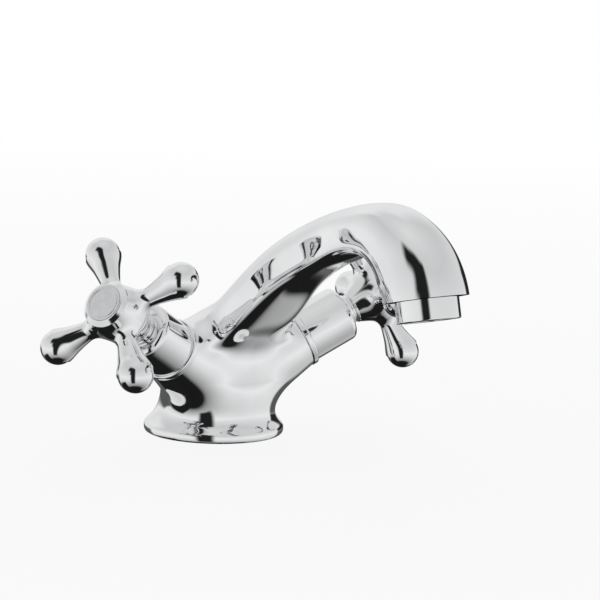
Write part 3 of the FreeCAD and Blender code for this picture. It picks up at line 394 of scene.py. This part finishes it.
def surface_net(values, origin, step):
    """One vertex in each grid cell that the zero surface crosses, joined into quads."""
    inside = values < 0
    shape = tuple(n - 1 for n in values.shape)
    held = sum(inside[i:i + shape[0], j:j + shape[1], k:k + shape[2]].astype(np.int8)
               for i, j, k in CORNERS)
    active = (held > 0) & (held < 8)
    cells = np.argwhere(active)
    number = np.full(shape, -1)
    number[active] = np.arange(len(cells))
    total, hits = np.zeros((len(cells), 3)), np.zeros(len(cells))
    at_corner = [values[tuple((cells + c).T)] for c in CORNERS]
    for a, b in CELL_EDGES:
        crossed = (at_corner[a] < 0) != (at_corner[b] < 0)
        share = at_corner[a][crossed] / (at_corner[a][crossed] - at_corner[b][crossed])
        total[crossed] += CORNERS[a] + share[:, None] * (CORNERS[b] - CORNERS[a])
        hits[crossed] += 1
    points = origin + step * (cells + total / hits[:, None])
    quads = []
    for axis in range(3):
        ahead = np.take(inside, range(1, inside.shape[axis]), axis)
        here = np.take(inside, range(0, inside.shape[axis] - 1), axis)
        u, v = [k for k in range(3) if k != axis]
        for falling in (True, False):
            spots = np.argwhere((here & ~ahead) if falling else (~here & ahead))
            spots = spots[(spots[:, u] > 0) & (spots[:, v] > 0)
                          & (spots[:, u] < shape[u]) & (spots[:, v] < shape[v])]
            ring = []
            for du, dv in ((0, 0), (-1, 0), (-1, -1), (0, -1)):
                moved = spots.copy()
                moved[:, u] += du
                moved[:, v] += dv
                ring.append(number[tuple(moved.T)])
            ring = np.stack(ring, 1)
            if falling == (axis == 1):
                ring = ring[:, ::-1]
            quads.append(ring[(ring >= 0).all(1)])
    return points, np.concatenate(quads)


# Millimetres: the reach of a slope's four probes, the longest move towards the surface in
# one round, how near to a plane a point counts as on it, and the cut's own closeness.
PROBE, LONGEST_MOVE, ON_PLANE, CUT_CLOSENESS = 0.02, 0.6, 1e-3, 1e-5
LEAST_SLOPE = 1e-6
RELAX_ROUNDS = 3
LAST_ROUNDS = 2


def gradient(field, points):
    """The field's slope at points, from the corners of a small tetrahedron round each."""
    ways = np.array([(1, 1, 1), (1, -1, -1), (-1, 1, -1), (-1, -1, 1)], float)
    total = sum(field(*(points + way * PROBE).T)[:, None] * way for way in ways)
    return total / (4 * PROBE)


def settled(field, points, rounds, planes=()):
    """Points moved onto the field's zero surface; those on a plane stay on it."""
    for turn in range(rounds):
        slope = gradient(field, points)
        steepness = np.maximum((slope ** 2).sum(1), LEAST_SLOPE)
        move = slope * (field(*points.T) / steepness)[:, None]
        for place, way, near in planes:
            on = np.abs((points - place) @ way) < ON_PLANE
            move[on] -= (move[on] @ way)[:, None] * way
        points = points - np.clip(move, -LONGEST_MOVE, LONGEST_MOVE)
    return points


def relaxed(points, quads, field):
    """Evens out the net's spacing along the surface."""
    edges = np.concatenate([quads[:, [k, (k + 1) % 4]] for k in range(4)])
    degree = np.bincount(edges.ravel(), minlength=len(points))
    for turn in range(RELAX_ROUNDS):
        total = np.zeros_like(points)
        for a, b in ((0, 1), (1, 0)):
            for axis in range(3):
                total[:, axis] += np.bincount(edges[:, a], points[edges[:, b], axis], len(points))
        points = settled(field, points + 0.5 * (total / degree[:, None] - points), 1)
    return points


def cut_mesh(points, quads, planes):
    """The net as a mesh with everything beyond each plane cut off.

    A plane is a place, the outward way, and how far round the place the cut reaches.
    """
    mesh = bpy.data.meshes.new("net")
    mesh.from_pydata(points, [], quads.tolist())
    net = bmesh.new()
    net.from_mesh(mesh)
    for place, way, near in planes:
        reach = [g for g in net.verts if (g.co - Vector(place)).length < near]
        chosen = set(reach)
        faces = [f for f in net.faces if all(v in chosen for v in f.verts)]
        edges = list({e for f in faces for e in f.edges})
        bmesh.ops.bisect_plane(net, geom=reach + edges + faces, dist=CUT_CLOSENESS,
                               plane_co=Vector(place), plane_no=Vector(way), clear_outer=True)
    bmesh.ops.delete(net, geom=[v for v in net.verts if not v.link_faces], context="VERTS")
    net.to_mesh(mesh)
    net.free()
    return mesh


def grid_of(box, step):
    """The grid's places along each axis of a box from its low to its high corner."""
    return [np.arange(low, high + step, step) for low, high in zip(*box)]


def formed(field, values, box, step, planes):
    """Points, faces and normals of a field's zero surface, cut flat at the planes."""
    points, quads = surface_net(values, np.array(box[0]), step)
    mesh = cut_mesh(relaxed(points, quads, field), quads, planes)
    points = np.array([v.co for v in mesh.vertices], float)
    faces = [tuple(f.vertices) for f in mesh.polygons]
    bpy.data.meshes.remove(mesh)
    points = settled(field, points, LAST_ROUNDS, planes)
    return points, faces, gradient(field, points)


# Making objects
TINY = 1e-9


def add_piece(name, mesh, body, slot, *replaces):
    """Puts a mesh into the scene, on its body and in its material's slot."""
    piece = bpy.data.objects.new(name, mesh)
    bpy.context.scene.collection.objects.link(piece)
    mesh.materials.append(MATERIALS[slot])
    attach(piece, body)
    if replaces:
        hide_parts(*replaces)


def mesh_with_normals(name, points, faces, normals, matrix=TO_METRES):
    """A smooth mesh with its true normals, moved from millimetres into the frame."""
    mesh = bpy.data.meshes.new(name)
    mesh.from_pydata([tuple(p) for p in points], [], faces)
    mesh.transform(matrix)
    turn = np.array(matrix.to_3x3()) / MM
    normals = np.asarray(normals) @ turn.T
    normals /= np.maximum(np.linalg.norm(normals, axis=1), TINY)[:, None]
    mesh.shade_smooth()
    mesh.normals_split_custom_set_from_vertices([tuple(n) for n in normals])
    return mesh


ARC_STEPS = 6
LATHE_TURNS = 160
ON_AXIS = 1e-6


def outline_samples(outline):
    """Turns (radius, height, rounding) corners into runs of (radius, height, normal)."""
    corners = [np.array(c[:2], float) for c in outline]
    rounding = [c[2] if len(c) > 2 else 0.0 for c in outline]
    runs, run = [], []
    for k, point in enumerate(corners):
        before = point - corners[k - 1] if k else None
        after = corners[k + 1] - point if k + 1 < len(corners) else None
        sides = []
        for way in (before, after):
            if way is not None:
                way = way / np.linalg.norm(way)
                sides.append((way, np.array([way[1], -way[0]])))
        if len(sides) == 2 and rounding[k] > 0:
            way_in, normal_in = sides[0]
            way_out = sides[1][0]
            half = 0.5 * math.acos(np.clip(way_in @ way_out, -1, 1))
            back = rounding[k] * math.tan(half)
            start = point - way_in * back
            sign = np.sign(way_in[0] * way_out[1] - way_in[1] * way_out[0])
            centre = start - normal_in * rounding[k] * sign
            for step in range(ARC_STEPS + 1):
                angle = step / ARC_STEPS * 2 * half * sign
                c, s = math.cos(angle), math.sin(angle)
                normal = np.array([[c, -s], [s, c]]) @ normal_in
                run.append((*(centre + normal * rounding[k] * sign), *normal))
        elif len(sides) == 2:
            run.append((*point, *sides[0][1]))
            runs.append(run)
            run = [(*point, *sides[1][1])]
        else:
            run.append((*point, *sides[0][1]))
    runs.append(run)
    return runs


def lathe(name, outline, matrix):
    """An outline of (radius, height, rounding) turned about the local Z axis.

    It runs so that its outside is on the right of its way.
    """
    angles = np.linspace(0, 2 * np.pi, LATHE_TURNS, endpoint=False)
    circle = np.stack([np.cos(angles), np.sin(angles)], 1)
    points, normals, faces = [], [], []
    for run in outline_samples(outline):
        rings = []
        for radius, height, out, up in run:
            first = len(points)
            if radius < ON_AXIS:
                points.append((0, 0, height))
                normals.append((0, 0, up))
                rings.append([first] * LATHE_TURNS)
                continue
            for c, s in circle:
                points.append((radius * c, radius * s, height))
                normals.append((out * c, out * s, up))
            rings.append(list(range(first, first + LATHE_TURNS)))
        for low, high in zip(rings, rings[1:]):
            for k in range(LATHE_TURNS):
                n = (k + 1) % LATHE_TURNS
                corner = [low[k], low[n], high[n], high[k]]
                face = [v for i, v in enumerate(corner) if v != corner[i - 1]]
                if len(face) > 2:
                    faces.append(face)
    return mesh_with_normals(name, points, faces, normals, matrix)


def turned_piece(name, outline, matrix, body, slot, *replaces):
    """A piece whose mesh is a turned outline."""
    add_piece(name, lathe(name, outline, matrix), body, slot, *replaces)


# Materials

# Noise scales are repeats per metre, heights of bumps are metres.
SPREAD = (0.3, 0.7)
CHROME_TINT = (0.84, 0.85, 0.86), (0.90, 0.905, 0.91)
PATCH_SCALE, MARK_SCALE, WAVE_SCALE = 70.0, 420.0, 95.0
GRAIN_HEIGHT, PATCH_SHARE = 0.00001, 0.4


class Nodes:
    """A material's node tree, with short calls for what every material needs."""

    def __init__(self, name):
        self.material = bpy.data.materials.new(name)
        self.material.use_nodes = True
        self.tree = self.material.node_tree
        self.shader = self.tree.nodes["Principled BSDF"]
        self.where = self.add("ShaderNodeTexCoord").outputs["Object"]

    def add(self, kind, **values):
        """A new node with values for its inputs or its settings."""
        node = self.tree.nodes.new(kind)
        for key, value in values.items():
            if key in node.inputs:
                node.inputs[key].default_value = value
            else:
                setattr(node, key, value)
        return node

    def join(self, output, socket):
        self.tree.links.new(output, socket)

    def noise(self, scale, detail=3.0):
        """Noise over the object, mostly within SPREAD."""
        made = self.add("ShaderNodeTexNoise", Scale=scale, Detail=detail, Roughness=0.5)
        self.join(self.where, made.inputs["Vector"])
        return made.outputs["Fac"]

    def ranged(self, value, low, high, start=SPREAD[0], end=SPREAD[1]):
        """The value's stretch from start to end, spread from low to high."""
        made = self.add("ShaderNodeMapRange")
        for key, number in (("From Min", start), ("From Max", end), ("To Min", low), ("To Max", high)):
            made.inputs[key].default_value = number
        self.join(value, made.inputs["Value"])
        return made.outputs["Result"]

    def tint(self, value, low, high):
        """A colour between two, by the value."""
        ramp = self.add("ShaderNodeValToRGB")
        for element, colour, place in zip(ramp.color_ramp.elements, (low, high), SPREAD):
            element.color = (*colour, 1)
            element.position = place
        self.join(value, ramp.inputs["Fac"])
        return ramp.outputs["Color"]

    def bump(self, height, distance):
        made = self.add("ShaderNodeBump", Strength=1.0, Distance=distance)
        self.join(height, made.inputs["Height"])
        self.join(made.outputs["Normal"], self.shader.inputs["Normal"])

    def set(self, **values):
        """Values for the shader's own inputs."""
        for key, value in values.items():
            self.shader.inputs[key.replace("_", " ")].default_value = value


def chrome(name, wave, polish=(0.02, 0.05)):
    """Bright plating: a faint wave of the metal beneath, and polishing marks."""
    n = Nodes(name)
    n.set(Metallic=1.0)
    n.join(n.tint(n.noise(PATCH_SCALE, 2.0), *CHROME_TINT), n.shader.inputs["Base Color"])
    n.join(n.ranged(n.noise(MARK_SCALE, 4.0), *polish), n.shader.inputs["Roughness"])
    n.bump(n.noise(WAVE_SCALE, 1.0), wave)
    return n.material


def satin(name, dark, light, rough, grain, metallic=1.0):
    """A plain surface between two colours, with a fine grain."""
    n = Nodes(name)
    n.set(Metallic=metallic)
    n.join(n.tint(n.noise(grain * PATCH_SHARE, 2.0), dark, light), n.shader.inputs["Base Color"])
    n.join(n.ranged(n.noise(grain, 4.0), *rough), n.shader.inputs["Roughness"])
    n.bump(n.noise(grain), GRAIN_HEIGHT)
    return n.material


# slot: height of the wave, and the range of roughness where it isn't the usual one
CHROMES = {
    "casting_chrome": (0.000004,),
    "trim_chrome": (0.000001,),
    "handle_chrome": (0.000003,),
    "aerator_chrome": (0.000001, (0.03, 0.07)),
}
# slot: dark and light colour, range of roughness, grain's scale, and 0 where not metal
SATINS = {
    "index_face": ((0.74, 0.75, 0.76), (0.82, 0.83, 0.84), (0.16, 0.28), 900.0),
    "jet_plastic": ((0.55, 0.56, 0.57), (0.62, 0.63, 0.64), (0.35, 0.5), 600.0, 0.0),
    "screen_steel": ((0.5, 0.5, 0.51), (0.62, 0.62, 0.63), (0.3, 0.45), 2400.0),
    "brass": ((0.72, 0.52, 0.24), (0.80, 0.62, 0.32), (0.22, 0.38), 500.0),
    "steel": ((0.55, 0.55, 0.56), (0.66, 0.66, 0.67), (0.2, 0.35), 700.0),
    "ceramic": ((0.86, 0.85, 0.82), (0.92, 0.91, 0.88), (0.12, 0.2), 300.0, 0.0),
    "rubber": ((0.018, 0.018, 0.02), (0.035, 0.035, 0.037), (0.5, 0.7), 800.0, 0.0),
}
MATERIALS = {name: chrome(name, *look) for name, look in CHROMES.items()}
MATERIALS.update({name: satin(name, *look) for name, look in SATINS.items()})

# What isn't drawn anew keeps the CAD's own shape and gets its material here.
for entry in frame["record"]["materials"]:
    for node in entry.get("nodes", []):
        thing = frame["nodes"].get(node)
        if thing:
            thing.data.materials.clear()
            thing.data.materials.append(MATERIALS[entry["slot"]])


# The casting

# The grid's box and step, and how far each flat cut reaches round its own place.
CASTING_BOX = (-38.0, -132.0, -4.0), (38.0, 28.0, 97.0)
CASTING_STEP = 0.75
FOOT_CUT, OUTLET_CUT, BOSS_CUT = 60.0, 24.0, 22.0


def make_casting():
    """The casting's field is worked out on a grid, and its surface stands for the CAD's."""
    xs, ys, zs = grid_of(CASTING_BOX, CASTING_STEP)
    yy, zz = np.meshgrid(ys, zs, indexing="ij")
    rise, sizes = nearest_on_spine(np.stack([yy.ravel(), zz.ravel()], 1))
    spine = rise.reshape(yy.shape)[None], sizes.reshape(*yy.shape, 8)[None]
    values = casting_field(xs[:, None, None], yy[None], zz[None], spine)
    planes = [(np.zeros(3), np.array([0.0, 0.0, -1.0]), FOOT_CUT), (HOOD_FACE, -OUTLET_UP, OUTLET_CUT)]
    for side in SIDES.values():
        out = valve_axes(side)[2]
        planes.append((CROSS + out * BOSS_FACE, out, BOSS_CUT))
    form = formed(casting_field, values, CASTING_BOX, CASTING_STEP, planes)
    add_piece("casting", mesh_with_normals("casting", *form), "tap", "casting_chrome", "body_casting")


make_casting()

# The outline round a land is found along so many rays, by halving between two limits.
LAND_RAYS, LAND_HALVINGS, LAND_LIMITS = 96, 24, (5.0, 30.0)
OUTLET_BORE, BOSS_BORE = 9.2, 8.4
ASKEW = (0.0, 1.0, 0.3)


def flat_land(name, place, way, bore):
    """The flat ring on a cut end of the casting, from its outline in to a round bore."""
    side = np.cross(way, ASKEW)
    side /= np.linalg.norm(side)
    other = np.cross(way, side)
    points, faces = [], []
    for k in range(LAND_RAYS):
        a = 2 * math.pi * k / LAND_RAYS
        ray = math.cos(a) * side + math.sin(a) * other
        low, high = LAND_LIMITS
        for halving in range(LAND_HALVINGS):
            middle = (low + high) / 2
            spot = (place + ray * middle)[:, None]
            low, high = (middle, high) if casting_field(*spot)[0] < 0 else (low, middle)
        points += [place + ray * low, place + ray * bore]
        n = (k + 1) % LAND_RAYS
        faces.append((2 * k, 2 * k + 1, 2 * n + 1, 2 * n))
    mesh = mesh_with_normals(name, points, faces, [way] * len(points))
    add_piece(name, mesh, "tap", "casting_chrome")


flat_land("outlet_land", HOOD_FACE, -OUTLET_UP, OUTLET_BORE)
for label, side in SIDES.items():
    out = valve_axes(side)[2]
    flat_land("boss_land_" + label, CROSS + out * BOSS_FACE, out, BOSS_BORE)

# The gasket's groove and the wide recess inside it, as radius, height and rounding.
GROOVE_TOP, RECESS_RADIUS, RECESS_TOP = 1.6, 16.5, 6.0
FOOT_UNDERSIDE = [
    (25.1, 0.0), (24.4, 0.0, 0.2), (24.4, GROOVE_TOP), (21.6, GROOVE_TOP), (21.6, 0.0, 0.2),
    (RECESS_RADIUS, 0.0, 0.3), (RECESS_RADIUS, RECESS_TOP, 0.4), (0.0, RECESS_TOP)]
turned_piece("foot_underside", FOOT_UNDERSIDE, TO_METRES, "tap", "casting_chrome")


# The crossheads and what lies along the valves
CROSSHEAD_BOX = (-33.0, -33.0, -12.0), (33.0, 33.0, 9.5)
CROSSHEAD_STEP = 0.5
FRONT_CUT, BACK_CUT = 14.0, 12.0


def make_crosshead():
    """One crosshead about its own axis, in millimetres; both handles use it."""
    xs, ys, zs = grid_of(CROSSHEAD_BOX, CROSSHEAD_STEP)
    values = crosshead_field(xs[:, None, None], ys[None, :, None], zs[None, None])
    front = np.array([0.0, 0.0, 1.0])
    planes = [(front * HUB_FRONT, front, FRONT_CUT), (-front * HUB_BACK, -front, BACK_CUT)]
    return formed(crosshead_field, values, CROSSHEAD_BOX, CROSSHEAD_STEP, planes)


# Outlines along the valve's axis: radius, height from the crossing, rounding.
COLLAR_TOP, BONNET_TOP = 37.6, 56.0
COLLAR = [(9.5, BOSS_FACE), (11.6, BOSS_FACE, 0.7), (11.6, COLLAR_TOP, 0.7), (9.5, COLLAR_TOP)]
BONNET = [(9.6, COLLAR_TOP), (10.66, COLLAR_TOP, 0.25), (10.66, BONNET_TOP, 2.4),
          (4.6, BONNET_TOP, 0.3), (4.6, 54.4)]
TAIL = [(4.3, 56.2), (5.9, 56.2, 0.3), (5.9, 58.0, 0.5), (5.2, 58.1, 0.1), (5.2, 58.8, 0.1),
        (6.4, 59.0, 0.4), (6.4, 59.9)]
CAP_TOP, DISC_TOP, DISC_GROOVE = 80.0, 80.15, 79.95
CAP = [(8.35, 77.9), (8.5, 78.0, 0.1), (8.5, 78.7, 0.35), (6.9, CAP_TOP, 0.35), (6.44, CAP_TOP, 0.1),
       (6.44, 78.9)]
DISC = [(6.4, 78.95), (6.4, DISC_TOP, 0.15), (5.65, DISC_TOP, 0.06), (5.65, DISC_GROOVE),
        (5.3, DISC_GROOVE), (5.3, DISC_TOP, 0.06), (0.0, DISC_TOP)]

crosshead = make_crosshead()
for label, side in SIDES.items():
    moving, turn = HANDLE_BODY[label], HANDLE_TURNS[label]
    axis, spun = valve_matrix(side), valve_matrix(side, 0.0, turn)
    turned_piece("collar_" + label, COLLAR, axis, "tap", "trim_chrome", "collar_ring_" + label)
    turned_piece("bonnet_shell_" + label, BONNET, axis, "tap", "trim_chrome", "bonnet_" + label)
    arms = mesh_with_normals("crosshead_" + label, *crosshead, valve_matrix(side, HANDLE_CENTRE, turn))
    add_piece("crosshead_" + label, arms, moving, "handle_chrome", "handle_" + label)
    turned_piece("hub_tail_" + label, TAIL, spun, moving, "handle_chrome")
    turned_piece("cap_" + label, CAP, spun, moving, "handle_chrome", "index_cap_" + label)
    turned_piece("plain_disc_" + label, DISC, spun, moving, "index_face", "index_disc_" + label)

# The aerator's shell, from the outlet's edge up to the hood.
HOUSING = [(7.9, 1.2), (7.9, 0.0, 0.3), (10.65, 0.0, 0.6), (10.65, AERATOR_HEIGHT, 0.1),
           (OUTLET_BORE, AERATOR_HEIGHT)]
turned_piece("aerator_shell", HOUSING, outlet_matrix(), "tap", "aerator_chrome", "aerator_housing")


# Stage and light

# Near the object the camera sees a share of the floor's own light and shadow; with the
# distance in metres it turns to plain white.
FLOOR_HALF, FLOOR_ROUGHNESS, FLOOR_PATCHES = 15.0, 0.9, 9.0
FLOOR_TINT = (0.86, 0.86, 0.86), (0.88, 0.88, 0.88)
WHITE_SHARE, WHITE_REACH = (0.87, 1.0), (0.15, 1.6)


def floor_material():
    """White for the camera, but for the light and shadow near the object."""
    n = Nodes("pale_floor")
    n.set(Roughness=FLOOR_ROUGHNESS)
    n.join(n.tint(n.noise(FLOOR_PATCHES), *FLOOR_TINT), n.shader.inputs["Base Color"])
    glow = n.add("ShaderNodeEmission", Strength=1.0)
    far = n.add("ShaderNodeVectorMath", operation="LENGTH")
    n.join(n.where, far.inputs[0])
    plain = n.ranged(far.outputs["Value"], *WHITE_SHARE, *WHITE_REACH)
    path = n.add("ShaderNodeLightPath")
    either = n.add("ShaderNodeMath", operation="MAXIMUM")
    n.join(path.outputs["Is Camera Ray"], either.inputs[0])
    n.join(path.outputs["Is Transmission Ray"], either.inputs[1])
    share = n.add("ShaderNodeMath", operation="MULTIPLY")
    n.join(either.outputs[0], share.inputs[0])
    n.join(plain, share.inputs[1])
    mix = n.add("ShaderNodeMixShader")
    n.join(share.outputs[0], mix.inputs["Fac"])
    n.join(n.shader.outputs["BSDF"], mix.inputs[1])
    n.join(glow.outputs["Emission"], mix.inputs[2])
    out = n.tree.nodes["Material Output"]
    n.join(mix.outputs["Shader"], out.inputs["Surface"])
    return n.material


def make_floor():
    """A wide floor; the metal mirrors the world's lower half instead of it."""
    h = FLOOR_HALF
    mesh = bpy.data.meshes.new("floor")
    mesh.from_pydata([(-h, -h, 0), (h, -h, 0), (h, h, 0), (-h, h, 0)], [], [(0, 1, 2, 3)])
    mesh.materials.append(floor_material())
    floor = bpy.data.objects.new("floor", mesh)
    bpy.context.scene.collection.objects.link(floor)
    floor.visible_glossy = False


make_floor()

# The studio that the metal mirrors: the height of a direction in degrees, and the
# brightness there.
STUDIO_SHADES = [(-90, 0.010), (-66, 0.012), (-57, 0.30), (-45, 0.48), (-25, 0.75), (-8, 0.90),
                 (6, 0.79), (24, 0.72), (45, 0.64), (90, 0.76)]
# Cards in it: middle azimuth (0 is +X, 90 is +Y), half width, low, high, soft edge, all in
# degrees, and brightness.
STUDIO_CARDS = [
    (92, 70, -100, -31, 5, 0.012),
    (56, 52, -34, -7, 5, 0.10),
    (-141, 14, -44, 50, 5, 0.015),
    (-150, 13, 10, 53, 7, 0.015),
    (-164, 19, 30, 55, 7, 0.015),
    (20, 17, -8, 14, 3, 0.02),
    (70, 38, 14, 58, 10, 0.85),
]


def make_world():
    """The studio for all rays but the camera's, which see plain white."""
    world = bpy.data.worlds.new("studio")
    bpy.context.scene.world = world
    world.use_nodes = True
    tree = world.node_tree
    nodes, links = tree.nodes, tree.links
    back = nodes["Background"]
    split = nodes.new("ShaderNodeSeparateXYZ")
    links.new(nodes.new("ShaderNodeTexCoord").outputs["Generated"], split.inputs[0])
    x, y, z = (split.outputs[k] for k in "XYZ")

    def calc(kind, a, b=None):
        """One step of reckoning with numbers or other nodes' outputs."""
        node = nodes.new("ShaderNodeMath")
        node.operation = kind
        for socket, value in zip(node.inputs, (a, b)):
            if isinstance(value, (int, float)):
                socket.default_value = value
            elif value is not None:
                links.new(value, socket)
        return node.outputs[0]

    def inside(value, low, high, edge):
        """1 between low and high, with soft edges."""
        sides = []
        for start, end, at_start in ((low - edge, low + edge, 0.0), (high - edge, high + edge, 1.0)):
            node = nodes.new("ShaderNodeMapRange")
            node.interpolation_type = "SMOOTHSTEP"
            links.new(value, node.inputs["Value"])
            for key, number in (("From Min", start), ("From Max", end),
                                ("To Min", at_start), ("To Max", 1.0 - at_start)):
                node.inputs[key].default_value = number
            sides.append(node.outputs["Result"])
        return calc("MULTIPLY", *sides)

    height = calc("DEGREES", calc("ARCSINE", z))
    ramp = nodes.new("ShaderNodeValToRGB")
    links.new(calc("DIVIDE", calc("ADD", height, 90.0), 180.0), ramp.inputs["Fac"])
    stops = ramp.color_ramp.elements
    while len(stops) < len(STUDIO_SHADES):
        stops.new(0.5)
    for stop, (degrees, shade) in zip(stops, STUDIO_SHADES):
        stop.position = (degrees + 90) / 180
        stop.color = (shade, shade, shade, 1)
    shade = ramp.outputs["Color"]
    for middle, half, low, high, edge, bright in STUDIO_CARDS:
        c, s = math.cos(math.radians(middle)), math.sin(math.radians(middle))
        ahead = calc("ADD", calc("MULTIPLY", x, c), calc("MULTIPLY", y, s))
        aside = calc("SUBTRACT", calc("MULTIPLY", y, c), calc("MULTIPLY", x, s))
        azimuth = calc("DEGREES", calc("ARCTAN2", aside, ahead))
        mask = calc("MULTIPLY", inside(azimuth, -half, half, edge), inside(height, low, high, edge))
        shade = calc("ADD", calc("MULTIPLY", shade, calc("SUBTRACT", 1.0, mask)),
                     calc("MULTIPLY", mask, bright))
    camera = nodes.new("ShaderNodeLightPath").outputs["Is Camera Ray"]
    seen = calc("ADD", calc("MULTIPLY", shade, calc("SUBTRACT", 1.0, camera)), camera)
    links.new(seen, back.inputs["Strength"])
    back.inputs["Color"].default_value = (1, 1, 1, 1)


make_world()

# One soft lamp, for a faint shadow on the floor; the metal doesn't mirror it.
LAMP_PLACE, LAMP_SIZE, LAMP_POWER = (0.75, 0.65, 0.85), 0.7, 0.9


def make_lamp():
    data = bpy.data.lights.new("soft_lamp", "AREA")
    data.shape, data.size, data.energy = "SQUARE", LAMP_SIZE, LAMP_POWER
    lamp = bpy.data.objects.new("soft_lamp", data)
    bpy.context.scene.collection.objects.link(lamp)
    lamp.location = LAMP_PLACE
    lamp.rotation_euler = Vector(LAMP_PLACE).to_track_quat("Z", "Y").to_euler()
    lamp.visible_glossy = False


make_lamp()

# The camera's place in metres, and the directions of its right, up and back.
CAMERA_PLACE = (-0.4543, -0.6015, 0.1551)
CAMERA_AXES = [(0.7752, -0.6309, 0.0319), (0.0628, 0.1272, 0.9899), (-0.6286, -0.7654, 0.1382)]
CAMERA_LENS, CAMERA_FILM, CAMERA_CLIP = 123.43, 36.0, (0.01, 20.0)


def make_camera():
    data = bpy.data.cameras.new("camera")
    data.lens, data.sensor_width = CAMERA_LENS, CAMERA_FILM
    data.clip_start, data.clip_end = CAMERA_CLIP
    camera = bpy.data.objects.new("camera", data)
    bpy.context.scene.collection.objects.link(camera)
    rows = [[axis[r] for axis in CAMERA_AXES] + [CAMERA_PLACE[r]] for r in range(3)]
    camera.matrix_world = Matrix(rows + [[0, 0, 0, 1]])
    bpy.context.scene.camera = camera


make_camera()
bpy.context.scene.view_settings.view_transform = "Standard"
